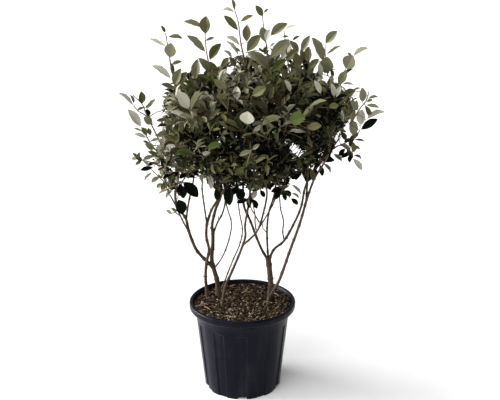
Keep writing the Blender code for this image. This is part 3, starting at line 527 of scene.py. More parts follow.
# The shoots and leaves that the first view shows singly
LEADERS = (
    Leader(-0.02, ((262, 82), (261, 72), (258, 62)), (
        (258, 62, 247.5, 52, SILVERED, 0.34), (259, 65, 270, 56, MOSS, 0.4), (260, 68, 249, 62, MOSS, 0.32),
    )),
    Leader(-0.12, ((176, 88), (171, 66), (168, 48), (165.5, 33)), (
        (165.5, 33, 161, 25.5, FRESH, 0.34), (167.5, 37, 182.5, 38.5, MOSS, 0.3),
        (166.5, 47, 149, 38.5, PALE, 0.18), (170, 58.5, 171, 43, MOSS, 0.72),
        (171, 65, 182, 61.5, MOSS, 0.34), (172, 80, 152, 65.5, SILVERED, 0.26),
        (174, 86, 181, 68.5, MOSS, 0.44), (177, 86, 187, 72, OLIVE, 0.46), (173, 77, 170, 62, OLIVE, 0.28),
        (175, 89, 161, 84, MOSS, 0.34),
    )),
    Leader(-0.068, ((212, 82), (208, 60), (206, 48), (205, 34)), (
        (204, 28, 184, 21.5, MOSS, 0.26), (205.5, 35, 206, 16, OLIVE, 0.58),
        (205, 41, 214.5, 37.5, MOSS, 0.3), (206, 53.5, 187, 35.5, MOSS, 0.27),
        (209, 61, 221, 43.5, OLIVE, 0.41), (195, 83, 197.5, 59, MOSS, 0.38),
        (210, 73, 198.5, 58, MOSS, 0.4), (218, 77, 209.5, 61.5, OLIVE, 0.42),
        (221, 68.5, 228.5, 57.5, OLIVE, 0.46),
    )),
    Leader(-0.02, ((246, 66), (241, 44), (238.5, 24), (234.5, 9)), (
        (234.5, 10.5, 231.5, -1, MOSS, 0.28), (235, 13, 222.5, 9.5, PALE, 0.2),
        (239, 31.5, 224, 15.5, OLIVE, 0.31), (240, 22, 253, 15.5, OLIVE, 0.28),
        (240.5, 46, 226, 37, PALE, 0.18), (239, 56, 226, 41, PALE, 0.18),
        (232, 59, 223.5, 50.5, SILVERED, 0.26), (241, 52, 235.5, 48, OLIVE, 0.35),
        (247, 43, 247, 25, OLIVE, 0.48), (236, 67, 229, 57, MOSS, 0.44), (244, 62, 236, 56, OLIVE, 0.46),
    )),
    Leader(-0.08, ((269, 76), (267, 50), (263.5, 26), (262.5, 16)), (
        (263, 17, 255.5, 5.5, OLIVE, 0.44), (263.5, 13, 268.5, 9, OLIVE, 0.36),
        (265.5, 43, 262, 27, MOSS, 0.55), (265, 41, 270, 29, SILVERED, 0.42),
        (269.5, 36.5, 287.5, 23.5, MOSS, 0.4), (246, 53, 260, 35, OLIVE, 0.44),
        (268, 70, 250.5, 51, MOSS, 0.36), (270, 73, 286, 59.5, FRESH, 0.4),
        (269, 59, 289.5, 39.5, MOSS, 0.4), (264, 54, 267.5, 45.5, OLIVE, 0.38),
        (264, 53, 258.5, 48, OLIVE, 0.36), (270, 48, 275, 43, SILVERED, 0.3),
    )),
    Leader(0.0, ((290, 76), (287, 56), (284, 31)), (
        (284, 30.5, 295.5, 25.5, SILVERED, 0.22), (282, 37, 288.5, 36.5, MOSS, 0.36),
        (281, 61, 291.5, 41.5, SILVERED, 0.36), (285, 61, 298, 50, OLIVE, 0.46),
        (299, 53, 290, 41, MOSS, 0.42), (292, 41, 299.5, 36, OLIVE, 0.3), (288, 74, 278, 63, OLIVE, 0.4),
    )),
    Leader(-0.05, ((306, 78), (303, 64), (301, 52)), (
        (301, 53, 310, 35.5, MOSS, 0.36), (308, 63, 309, 46.5, MOSS, 0.5),
        (300, 70, 295.5, 52.5, OLIVE, 0.46), (307, 70, 319, 59, OLIVE, 0.42),
        (301, 80, 292, 68, MOSS, 0.46), (304.5, 67, 303, 54, SHADED, 0.4),
        (303, 61, 300.5, 49.5, OLIVE, 0.48), (307, 67, 308, 55, DARK, 0.44),
    )),
    Leader(0.05, ((328, 76), (325.5, 57), (325, 44)), (
        (324, 63, 312, 37.5, MOSS, 0.3), (325, 44.5, 337, 31, MOSS, 0.48),
        (326, 55, 341, 45.5, OLIVE, 0.13), (326.5, 73, 327.5, 57, MOSS, 0.8),
        (332, 80, 330, 68, OLIVE, 0.3),
    )),
    Leader(0.0, ((334, 92), (341, 78), (345.5, 69)), (
        (345.5, 69.5, 353, 55.5, MOSS, 0.85), (352.5, 57, 368, 48, SILVERED, 0.28),
        (352, 57, 348, 52.5, OLIVE, 0.4), (338, 85, 347, 71, MOSS, 0.5), (343, 76.5, 353, 69, OLIVE, 0.28),
        (342, 84, 353.5, 85, SILVERED, 0.2), (343, 97, 355.5, 90, OLIVE, 0.55),
    )),
    Leader(-0.07, ((350, 125), (360, 108.5), (366, 101), (369, 91.5)), (
        (362.5, 103, 362, 87.5, MOSS, 0.45), (367.5, 99, 378, 97, MOSS, 0.28),
        (366, 102, 372.5, 99.5, MOSS, 0.36), (365.5, 105, 379, 107.5, MOSS, 0.28),
        (364.5, 104.5, 370, 117, OLIVE, 0.36), (361, 126.5, 362, 109.5, SILVERED, 0.54),
        (366, 120, 385, 112, SILVERED, 0.24), (360, 130.5, 377.5, 119, SHADED, 0.38),
        (352, 91, 361, 88, OLIVE, 0.2), (358, 111, 350.5, 100.5, MOSS, 0.46),
        (351, 122, 355, 110.5, MOSS, 0.42), (344, 108, 351, 118, OLIVE, 0.5),
    )),
    Leader(-0.04, ((330, 150), (338, 146), (346, 142.5), (353, 138), (360, 130.5)), (
        (354.5, 137, 351, 119.5, MOSS, 0.46), (346, 141, 341, 132, DARK, 0.5),
        (335, 129, 346.5, 132, MOSS, 0.28), (354, 139.5, 364.5, 141.5, OLIVE, 0.22),
        (353, 139, 344, 142, DARK, 0.42), (334, 148, 327, 152.5, MOSS, 0.46),
        (326, 138, 336, 143, DARK, 0.5), (325, 145, 335.5, 148.5, SHADED, 0.5),
        (328, 132, 337, 134.5, OLIVE, 0.44), (333, 153.5, 342, 161, MOSS, 0.36),
        (353, 137, 350, 147, DARK, 0.42), (357, 133, 351, 142, OLIVE, 0.42),
        (359, 131.5, 354, 139, OLIVE, 0.34),
    )),
    Leader(-0.04, ((340, 145), (347, 148), (352, 153), (352, 157)), (
        (352.5, 145.5, 360, 149, OLIVE, 0.38), (351, 151, 340.5, 144, MOSS, 0.36),
        (353, 151.5, 341, 157.5, SHADED, 0.32), (351, 154, 349.5, 162.5, SHADED, 0.5),
        (353, 155, 361.5, 159, OLIVE, 0.24), (352, 158, 362, 170, SILVERED, 0.32),
        (353, 153, 353, 142, OLIVE, 0.42), (346, 149, 353, 158, DARK, 0.42),
        (346, 148, 339, 156, SHADED, 0.42),
    )),
    Leader(-0.11, ((160, 142), (151, 124), (146, 116), (138, 111), (134, 106)), (
        (134, 107, 118.5, 93, SILVERED, 0.18), (134, 104, 130, 95, OLIVE, 0.3),
        (149, 117.5, 147, 109, SHADED, 0.62), (153, 124.5, 143.5, 117.5, MOSS, 0.62),
        (155, 136, 169.5, 134.5, MOSS, 0.46),
    )),
    Leader(-0.12, ((178, 126), (173, 123), (168, 120)), (
        (167, 119.5, 156.5, 121, OLIVE, 0.36), (169, 126, 157, 127, DARK, 0.28),
    )),
    Leader(-0.11, ((148, 118), (145, 111), (142, 104), (133, 95)), (
        (142, 104.5, 141, 91.5, FRESH, 0.5), (145, 107, 137.5, 110.5, OLIVE, 0.34),
        (146, 110, 155.5, 99, MOSS, 0.28), (145, 108, 152, 104, OLIVE, 0.34),
    )),
    Leader(-0.12, ((164, 158), (153, 147), (148, 139), (141.5, 127)), (
        (141.5, 127.5, 128, 109.5, SILVERED, 0.36), (147, 136, 141.5, 127.5, OLIVE, 0.56),
        (143, 132, 133.5, 128, MOSS, 0.2), (147, 138, 134.5, 134, SILVERED, 0.3),
        (150.5, 136, 148, 128, OLIVE, 0.5), (151, 147, 143, 140.5, OLIVE, 0.3),
        (154, 150, 145, 144, MOSS, 0.56), (159, 155, 148, 151.5, FRESH, 0.36),
        (161, 139.5, 150, 141.5, OLIVE, 0.24),
    )),
    Leader(-0.12, ((162, 167), (150, 162), (142, 160), (136, 157)), (
        (138, 158, 132.5, 153, OLIVE, 0.36), (138.5, 159, 139.5, 152, OLIVE, 0.44),
        (139, 158.5, 131.5, 158.5, MOSS, 0.38), (142, 160.5, 135.5, 165, OLIVE, 0.44),
        (143, 161, 136, 157.5, DARK, 0.56), (142, 160, 153, 156, MOSS, 0.38),
        (143, 160.5, 149, 165, MOSS, 0.4), (154, 167, 140.5, 170, SHADED, 0.34),
        (146, 166, 155.5, 162.5, SHADED, 0.34),
    )),
    Leader(-0.12, ((172, 190), (164, 182), (157, 175), (151, 169)), (
        (153, 172, 144.5, 180.5, MOSS, 0.22), (161, 176.5, 151.5, 182.5, MOSS, 0.4),
        (163, 183, 156.5, 187.5, OLIVE, 0.44), (168.5, 182, 161, 189.5, FRESH, 0.58),
        (176, 181.5, 167, 176, FRESH, 0.5), (170, 189.5, 158, 194.5, MOSS, 0.16),
        (172, 189, 166, 198.5, SILVERED, 0.36),
    )),
    Leader(-0.1, ((188, 172), (183, 181), (180, 190), (177, 199)), (
        (182, 181, 198, 197, SHADED, 0.5), (180, 183, 183.5, 198.5, SHADED, 0.46),
        (177.5, 198.5, 183, 214, SHADED, 0.62), (188, 172, 179.5, 178.5, SHADED, 0.5),
        (199, 170, 189, 177.5, SHADED, 0.52), (179.5, 182, 180.5, 196, SHADED, 0.5),
        (179, 171, 171.5, 178.5, SHADED, 0.52), (177, 183, 172, 188.5, SHADED, 0.5),
    )),
    Leader(-0.095, ((181, 217), (176, 213), (172, 213)), (
        (172, 214, 166, 210, SILVERED, 0.4), (177, 213, 171, 208, MOSS, 0.4),
    )),
    Leader(-0.06, ((222, 170), (230, 178), (236, 187)), (
        (229.5, 184, 229.5, 205.5, SHADED, 0.46), (236, 186.5, 242.5, 200, SHADED, 0.62),
        (216, 186, 217.5, 200.5, SHADED, 0.42), (238, 186, 230.5, 196, SHADED, 0.52),
    )),
    Leader(-0.2, ((214, 164), (211, 169), (209, 173)), (
        (208.5, 172.5, 211, 189.5, SILVERED, 0.32), (206, 170, 203, 184, MOSS, 0.22),
    ), -0.15),
    Leader(-0.11, ((256, 230), (255, 222), (255, 215), (253, 204), (251, 194)), (
        (251, 193, 249, 208.5, SHADED, 0.36), (251.5, 198, 257, 208.5, SHADED, 0.46),
        (250, 199, 236.5, 202.5, SHADED, 0.34), (257, 188.5, 253, 199, SILVERED, 0.5),
    ), -0.075),
    Leader(-0.13, ((259, 222), (255, 215), (251, 208), (248, 198)), (), -0.098),
    Leader(0.06, ((266, 232), (263, 228), (262, 222)), (), 0.076),
    Leader(0.07, ((219, 221), (218, 216)), (), 0.075),
    Leader(-0.08, ((266, 176), (263, 184), (260, 190)), (
        (260, 189.5, 264.5, 197.5, SHADED, 0.52), (264, 182, 271, 190, SHADED, 0.4),
    )),
    Leader(-0.06, ((270, 178), (277, 184), (283, 189), (290, 198)), (
        (283, 188, 271, 192, SHADED, 0.42), (276, 183, 267.5, 188.5, SHADED, 0.5),
        (284, 185, 280, 195, DARK, 0.5), (281, 192, 289.5, 195, DARK, 0.4),
        (281, 190, 275, 199.5, SHADED, 0.5), (284, 190, 291, 196, SHADED, 0.5),
        (281, 188, 289, 186, OLIVE, 0.5), (282, 191, 286, 200.5, SHADED, 0.42),
        (290.5, 184, 301.5, 195, SILVERED, 0.18), (291, 193, 299, 198.5, PALE, 0.2),
        (290.5, 198, 298, 204.5, SHADED, 0.48),
    )),
    Leader(0.0, ((300, 156), (307, 160), (318, 161)), (
        (318, 158.5, 334.5, 160.5, SHADED, 0.42), (322, 163, 330.5, 173, MOSS, 0.2),
        (319.5, 164, 322.5, 176, SHADED, 0.36), (305, 166, 307.5, 183, SHADED, 0.42),
        (310, 167, 313, 181, OLIVE, 0.36), (300, 170, 291.5, 179, SHADED, 0.52),
        (303, 168, 295.5, 180, SHADED, 0.46), (308, 166, 310, 181, DARK, 0.42),
        (314, 165, 315, 178, SHADED, 0.36), (303, 166, 303.5, 177, DARK, 0.44),
    )),
    Leader(-0.31, ((244, 144), (246, 134), (247.5, 125)), (
        (247.5, 125, 247.5, 111.5, PALE, 0.96), (240, 129.5, 221.5, 121.5, OLIVE, 0.24),
        (252, 133.5, 262.5, 125, SILVERED, 0.34), (238, 131, 225, 128, OLIVE, 0.3),
    ), -0.2),
    Leader(-0.31, ((281, 140), (285, 130), (288, 121)), (
        (288, 121.5, 305, 116.5, FRESH, 0.72), (283.5, 117, 262, 125.5, MOSS, 0.28),
        (306.5, 132.5, 288.5, 131, SILVERED, 0.2), (306, 128, 321.5, 125.5, OLIVE, 0.5),
    ), -0.2),
    Leader(-0.26, ((200, 128), (195, 118), (190, 111)), (
        (189.5, 110, 177, 91.5, SILVERED, 0.48), (190.5, 113, 206.5, 89.5, MOSS, 0.2),
        (209, 118, 197, 104, OLIVE, 0.42), (207, 122, 220.5, 109, MOSS, 0.28),
        (188, 120, 170, 112, SILVERED, 0.12),
    ), -0.15),
    Leader(-0.285, ((203, 164), (205, 156), (206, 148)), (
        (206, 148.5, 221.5, 143.5, FRESH, 0.38), (196, 155.5, 176, 152, FRESH, 0.4),
        (206, 162, 217, 158, FRESH, 0.4), (211, 152, 200.5, 155.5, SILVERED, 0.36),
    ), -0.2),
    Leader(-0.38, ((246, 178), (247, 165), (251, 151)), (
        (252, 150.5, 239.5, 155.5, MOSS, 0.36), (252, 150, 259.5, 144.5, MOSS, 0.42),
        (242, 167, 254.5, 157.5, FRESH, 0.32), (234, 174.5, 247, 167.5, FRESH, 0.4),
        (237, 177.5, 221.5, 182.5, OLIVE, 0.34), (255, 164, 266.5, 157.5, MOSS, 0.22),
    ), -0.24),
    Leader(-0.29, ((252, 118), (251, 106), (251.5, 96)), (
        (251.5, 96, 266, 87.5, OLIVE, 0.52), (268.5, 119.5, 253, 100.5, OLIVE, 0.24),
        (237, 101, 237, 86.5, SILVERED, 0.56), (245, 113.5, 230, 104.5, OLIVE, 0.22),
    ), -0.2),
    Leader(-0.28, ((226, 122), (228, 110), (229, 98)), (
        (228.5, 98.5, 216, 95.5, OLIVE, 0.38), (229, 113.5, 216, 96.5, MOSS, 0.18),
        (228, 90, 214, 80, OLIVE, 0.46),
    ), -0.18),
    Leader(-0.29, ((308, 124), (310, 112), (308, 107)), (
        (308, 108, 326.5, 100.5, MOSS, 0.17), (312.5, 117.5, 321.5, 116, MOSS, 0.42),
        (328, 107.5, 338.5, 105, OLIVE, 0.54),
    ), -0.2),
    Leader(-0.2, ((322, 104), (321, 98), (321, 94)), (
        (321, 94.5, 314, 80.5, PALE, 0.32), (334, 97.5, 331, 83.5, SILVERED, 0.36),
        (336, 98, 341, 86, SILVERED, 0.36),
    ), -0.14),
    Leader(-0.2, ((292, 106), (291, 98), (291, 92)), (
        (291, 92.5, 284.5, 80, PALE, 0.3), (284, 106, 270, 100, MOSS, 0.26), (292, 96, 300, 88, MOSS, 0.36),
    ), -0.14),
)

# The outline of the crown's dense part in the first view: past it, only leaders carry leaves
OUTLINE = (
    (167, 84), (176, 80), (187, 78), (190, 70), (200, 66), (214, 66), (222, 64), (232, 58), (246, 54),
    (258, 50), (270, 48), (284, 48), (296, 46), (306, 50), (318, 56), (328, 58), (334, 66), (336, 80),
    (344, 87), (354, 93), (358, 102), (356, 114), (350, 120), (346, 126), (337, 131), (334, 140),
    (334, 150), (332, 157), (325, 163), (316, 167), (312, 176), (304, 178), (298, 173), (292, 177),
    (287, 185), (280, 189), (270, 188), (262, 188), (256, 191), (249, 191), (243, 186), (238, 188),
    (228, 188), (222, 193), (213, 191), (207, 184), (199, 178), (192, 179), (184, 179), (178, 190),
    (170, 189), (164, 182), (159, 175), (158, 169), (150, 164), (147, 156), (148, 150), (154, 144),
    (160, 137), (160, 128), (161, 122), (163, 116), (162, 110), (163, 104), (162, 98), (165, 91),
)

# Places of the first view where the sky shows through the crown: across, down and radius
SKY = (
    (294, 148, 4.5), (298, 154, 4.5), (185, 76, 4), (213, 60, 3), (202, 71, 4.5), (286, 64, 2.5),
    (289, 57, 2.5), (287.5, 72, 3.5), (282, 76, 2.5), (302, 71.5, 2), (317, 72, 3.5), (326, 77, 4),
    (334, 80, 3.5), (231, 70, 4), (237, 66, 2.5), (226, 76, 2.5), (248, 53, 2.5), (255, 49, 3.5),
    (262, 51, 3.5), (183, 179, 3),
)

# Places of the first view where the crown is in deep shade, in which the front twigs get near-black greens
# as painted shade: across, down and radius
SHADE = (
    (222, 148, 22), (240, 168, 20), (262, 148, 20), (282, 168, 22), (310, 145, 24), (322, 114, 18),
    (300, 106, 12), (303, 76, 9), (204, 172, 12), (224, 117, 13),
)


@dataclass(frozen=True)
class Shape:
    """A small form that is modelled once and dealt out many times."""

    points: np.ndarray
    corners: np.ndarray
    sizes: np.ndarray
    slots: np.ndarray

    @classmethod
    def taken_from(cls, made: bpy.types.Object) -> "Shape":
        """Read a modelled object's mesh, and remove the object.

        Args:
            made: The object.

        Returns:
            Its form.
        """
        mesh = made.data
        points = np.empty(len(mesh.vertices) * 3)
        mesh.vertices.foreach_get("co", points)
        corners = np.empty(len(mesh.loops), dtype=np.int64)
        mesh.loops.foreach_get("vertex_index", corners)
        sizes, slots = np.empty((2, len(mesh.polygons)), dtype=np.int64)
        mesh.polygons.foreach_get("loop_total", sizes)
        mesh.polygons.foreach_get("material_index", slots)
        bpy.data.objects.remove(made)
        return cls(points.reshape(-1, 3), corners, sizes, slots)


class Dealt:
    """Copies of small forms, each with its own place, joined into one mesh."""

    def __init__(self, name: str, shapes: Sequence[Shape]) -> None:
        """Start with no copies.

        Args:
            name: The joined piece's name.
            shapes: The forms that are dealt out.
        """
        self.name = name
        self.shapes = shapes
        self.turns: list[list[np.ndarray]] = [[] for _ in shapes]
        self.places: list[list[np.ndarray]] = [[] for _ in shapes]

    def add(self, kind: int, frame: Sequence[Vector], place: Vector) -> None:
        """Set down one copy.

        Args:
            kind: Which of the forms.
            frame: Where the form's own X, Y and Z axes point, each as long as its scale.
            place: Where its origin lies.
        """
        self.turns[kind].append(np.array([tuple(axis) for axis in frame]))
        self.places[kind].append(np.array(tuple(place)))

    def build(self, materials: Sequence[bpy.types.Material], smooth: float) -> bpy.types.Object:
        """Join all copies.

        Args:
            materials: The finishes of the forms' slots.
            smooth: Edges sharper than this angle stay sharp.

        Returns:
            The joined piece.
        """
        points, corners, sizes, slots = [], [], [], []
        first = 0
        for shape, turns, places in zip(self.shapes, self.turns, self.places):
            if not turns:
                continue
            count = len(turns)
            placed = np.einsum("nj,cjk->cnk", shape.points, np.array(turns))
            placed += np.array(places)[:, None, :]
            points.append(placed.reshape(-1, 3))
            starts = first + np.arange(count) * len(shape.points)
            corners.append((shape.corners[None, :] + starts[:, None]).ravel())
            sizes.append(np.tile(shape.sizes, count))
            slots.append(np.tile(shape.slots, count))
            first += count * len(shape.points)
        mesh = bpy.data.meshes.new(self.name)
        all_points, all_corners = np.concatenate(points), np.concatenate(corners)
        all_sizes, all_slots = np.concatenate(sizes), np.concatenate(slots)
        mesh.vertices.add(len(all_points))
        mesh.vertices.foreach_set("co", all_points.ravel())
        mesh.loops.add(len(all_corners))
        mesh.loops.foreach_set("vertex_index", all_corners)
        mesh.polygons.add(len(all_sizes))
        mesh.polygons.foreach_set("loop_start", np.concatenate(([0], np.cumsum(all_sizes)[:-1])))
        mesh.polygons.foreach_set("material_index", all_slots)
        mesh.update(calc_edges=True)
        mesh.shade_smooth()
        mesh.set_sharp_from_angle(angle=smooth)
        for finish in materials:
            mesh.materials.append(finish)
        made = bpy.data.objects.new(self.name, mesh)
        bpy.context.scene.collection.objects.link(made)
        return made


def level_way(turn: float) -> Vector:
    """The level way at a turn about the upright axis."""
    return Vector((math.cos(turn), math.sin(turn), 0.0))


def deselect_all() -> None:
    """Leave nothing selected."""
    for chosen in bpy.context.selected_objects:
        chosen.select_set(False)


def choose(made: bpy.types.Object) -> None:
    """Select an object alone, and make it the active one."""
    deselect_all()
    made.select_set(True)
    bpy.context.view_layer.objects.active = made


def hand_over(piece: bpy.types.Object, nodes: Iterable[str] = ()) -> None:
    """Fix a finished piece to the plant's body and report it.

    Args:
        piece: The piece.
        nodes: The solids that it stands for.
    """
    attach(piece, "root")
    if nodes:
        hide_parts(*nodes)
    LOG.info("%s: %d faces", piece.name, len(piece.data.polygons))


class Workpiece:
    """A mesh that is shaped as by hand, from the primitive that was added last."""

    def __init__(self, name: str, scale: Point = (1.0, 1.0, 1.0)) -> None:
        """Take the new primitive.

        Args:
            name: Its name.
            scale: How much it is stretched along each axis before it is shaped.
        """
        self.object = bpy.context.active_object
        self.object.name = self.object.data.name = name
        self.object.scale = scale
        self.settle()

    def __enter__(self) -> "Workpiece":
        """Go into edit mode, with everything selected by its corners."""
        bpy.ops.object.mode_set(mode="EDIT")
        bpy.context.tool_settings.mesh_select_mode = (True, False, False)
        bpy.ops.mesh.select_all(action="SELECT")
        return self

    def __exit__(self, *_: object) -> None:
        """Leave edit mode."""
        bpy.ops.object.mode_set(mode="OBJECT")

    def select(self, test: Callable[[Vector], bool]) -> None:
        """Select the corners that pass a test of their place, and what lies between them.

        Args:
            test: True for a place that is wanted.
        """
        bm = bmesh.from_edit_mesh(self.object.data)
        bm.select_mode = {"VERT"}
        for vert in bm.verts:
            vert.select_set(test(vert.co))
        bm.select_flush_mode()
        bmesh.update_edit_mesh(self.object.data)

    @staticmethod
    def roughen(offset: float, uniform: float, seed: int) -> None:
        """Push the selected corners about, by up to an offset."""
        bpy.ops.transform.vertex_random(offset=offset, uniform=uniform, normal=0.0, seed=seed)

    @staticmethod
    def extrude_rings(levels: Sequence[Pair]) -> None:
        """Extrude the selected rim from ring to ring, and close the last one.

        Args:
            levels: The (radius, height) of the rim, and then of each new ring.
        """
        for (radius, height), (wider, higher) in zip(levels, levels[1:]):
            bpy.ops.mesh.extrude_edges_move(TRANSFORM_OT_translate={"value": (0.0, 0.0, higher - height)})
            share = wider / radius
            bpy.ops.transform.resize(value=(share, share, 1.0), center_override=(0.0, 0.0, higher))
        bpy.ops.mesh.edge_face_add()

    @staticmethod
    def face_outwards() -> None:
        """Turn every face's front outwards."""
        bpy.ops.mesh.select_all(action="SELECT")
        bpy.ops.mesh.normals_make_consistent(inside=False)

    def modify(self, kind: str, **settings: object) -> None:
        """Add a modifier and apply it.

        Args:
            kind: The modifier's type.
            settings: Its settings.
        """
        modifier = self.object.modifiers.new(kind.lower(), kind)
        for name, value in settings.items():
            setattr(modifier, name, value)
        bpy.context.view_layer.objects.active = self.object
        bpy.ops.object.modifier_apply(modifier=modifier.name)

    def settle(self) -> None:
        """Put the object's place, turn and scale into its mesh."""
        choose(self.object)
        bpy.ops.object.transform_apply(location=True, rotation=True, scale=True)

    def dress(self, material: bpy.types.Material, slot: str, nodes: Iterable[str]) -> None:
        """Shade the piece smooth, give it its one finish, and hand it over.

        Args:
            material: The finish.
            slot: The record's material slot; not used.
            nodes: The solids that it stands for.
        """
        self.object.data.shade_smooth()
        self.object.data.materials.clear()
        self.object.data.materials.append(material)
        self.settle()
        hand_over(self.object, nodes)


@dataclass
class NurseryPot:
    """A tapered round container with shallow upright flutes and a rolled rim."""

    rim_radius: float = 0.18
    height: float = 0.31
    base_radius: float = 0.13
    wall_top_radius: float = 0.1585
    wall_top: float = 0.272
    wall: float = 0.003
    wall_rings: tuple[float, ...] = (0.012, 0.06, 0.12, 0.18)  # heights that the wall is divided at
    roll_radius: float = 0.0065
    roll_steps: int = 8
    skirt_foot: float = 0.286
    # (out from the rim's radius, up from the skirt's foot)
    skirt_corners: tuple[Pair, ...] = ((-0.008, -0.003), (-0.004, -0.001), (-0.001, 0.003), (0.0, 0.007))
    lip_foot: Pair = (-0.016, 0.01)
    pad_radius: float = 0.075
    channel_depth: float = 0.01
    channel_slope: float = 0.007
    foot_width: float = 0.0075
    foot_slope: float = 0.003
    foot_round: float = 0.001
    foot_level: float = 0.002  # corners below it belong to the foot
    shoulder: Pair = (0.002, 0.003)  # the wall's last step out and up under the skirt
    flutes: int = 12
    flute_depth: float = 0.0034
    flute_top: float = 0.24
    flute_fade: float = 0.005
    notches: int = 5
    edge_round: float = 0.0011
    half_steps: float = 4.5  # half the width of a flute or notch, in the pot's sides
    sides: int = 240
    turn: float = math.radians(-90.5)
    bevelled: float = math.radians(28)  # edges sharper than this are rounded
    sharp: float = math.radians(38)  # and those sharper than this are shaded as edges

    def wall_radius(self, height: float) -> float:
        """Outer radius of the wall at a height, which widens evenly."""
        share = height / self.wall_top
        return self.base_radius + (self.wall_top_radius - self.base_radius) * share

    def outside(self) -> list[Pair]:
        """(radius, height) from the pad in the middle of the underside up to the rim's roll."""
        foot = self.base_radius - self.foot_width
        heights = [*self.wall_rings, self.flute_top, self.flute_top + self.flute_fade]
        return [
            (self.pad_radius, 0.0),
            (self.pad_radius + self.channel_slope, self.channel_depth),
            (foot - self.foot_slope, self.channel_depth),
            (foot, self.foot_round),
            (foot + self.foot_round, 0.0),
            (self.base_radius - self.foot_round, 0.0),
            (self.base_radius, self.foot_round),
            *((self.wall_radius(height), height) for height in heights),
            (self.wall_top_radius, self.wall_top),
            (self.wall_top_radius + self.shoulder[0], self.wall_top + self.shoulder[1]),
            *((self.rim_radius + out, self.skirt_foot + up) for out, up in self.skirt_corners),
        ]

    def roll(self) -> list[Pair]:
        """(radius, height) over the rolled lip, from its outer side to its inner one."""
        turns = [math.pi * step / self.roll_steps for step in range(self.roll_steps + 1)]
        middle, level = self.rim_radius - self.roll_radius, self.height - self.roll_radius
        reach = self.roll_radius
        return [(middle + reach * math.cos(turn), level + reach * math.sin(turn)) for turn in turns]

    def inside(self) -> list[Pair]:
        """(radius, height) down the inner side to the floor."""
        floor = self.channel_depth + self.wall
        inset = self.wall + self.flute_depth
        return [
            (self.rim_radius + self.lip_foot[0], self.skirt_foot + self.lip_foot[1]),
            (self.wall_top_radius - self.wall, self.wall_top),
            (self.wall_radius(self.flute_top) - inset, self.flute_top),
            (self.wall_radius(floor) - inset, floor),
        ]

    def build(self) -> None:
        """Model the pot and hand it over in place of its solid."""
        levels = self.outside() + self.roll() + self.inside()
        bpy.ops.mesh.primitive_circle_add(
            vertices=self.sides, radius=levels[0][0], fill_type="NGON", rotation=(0, 0, self.turn)
        )
        with Workpiece("nursery_pot") as pot:
            pot.extrude_rings(levels)
            top = self.flute_top + self.flute_fade / 2
            self.press(pot, self.flutes, top, inwards=self.flute_depth, up=0.0)
            depth = self.channel_depth - self.foot_round
            self.press(pot, self.notches, self.foot_level, inwards=0.0, up=depth)
            pot.face_outwards()
        pot.modify(
            "BEVEL", width=self.edge_round, segments=2, limit_method="ANGLE", angle_limit=self.bevelled
        )
        pot.dress(PotPlastic().material(), "pot_plastic", ["pot"])
        pot.object.data.set_sharp_from_angle(angle=self.sharp)

    def press(self, pot: Workpiece, count: int, top: float, inwards: float, up: float) -> None:
        """Set evenly spread parts of the wall back, as flutes, or up, as notches in the foot.

        Args:
            pot: The pot, in edit mode.
            count: How many there are round the pot.
            top: The height up to which corners are moved.
            inwards: How far they go inwards.
            up: How far they go up.
        """
        half = self.half_steps * math.tau / self.sides
        for number in range(count):
            way = level_way(self.turn + math.tau * number / count)
            pot.select(lambda place: place.z <= top and self.in_flute(place, way, half))
            bpy.ops.transform.translate(value=way * -inwards + UP * up)

    def in_flute(self, place: Vector, way: Vector, half: float) -> bool:
        """Test a corner of the pot.

        Args:
            place: The corner.
            way: The way from the axis to a flute's middle.
            half: Half the flute's turn round the axis.

        Returns:
            True for a corner of the outer wall or the foot that lies in the flute.
        """
        reach = math.hypot(place.x, place.y)
        if reach < self.base_radius - self.foot_width - self.foot_slope - self.foot_round:
            return False
        if place.z > self.foot_level and reach < self.wall_radius(place.z) - 0.5 * self.wall:
            return False
        return place.x * way.x + place.y * way.y > reach * math.cos(half)


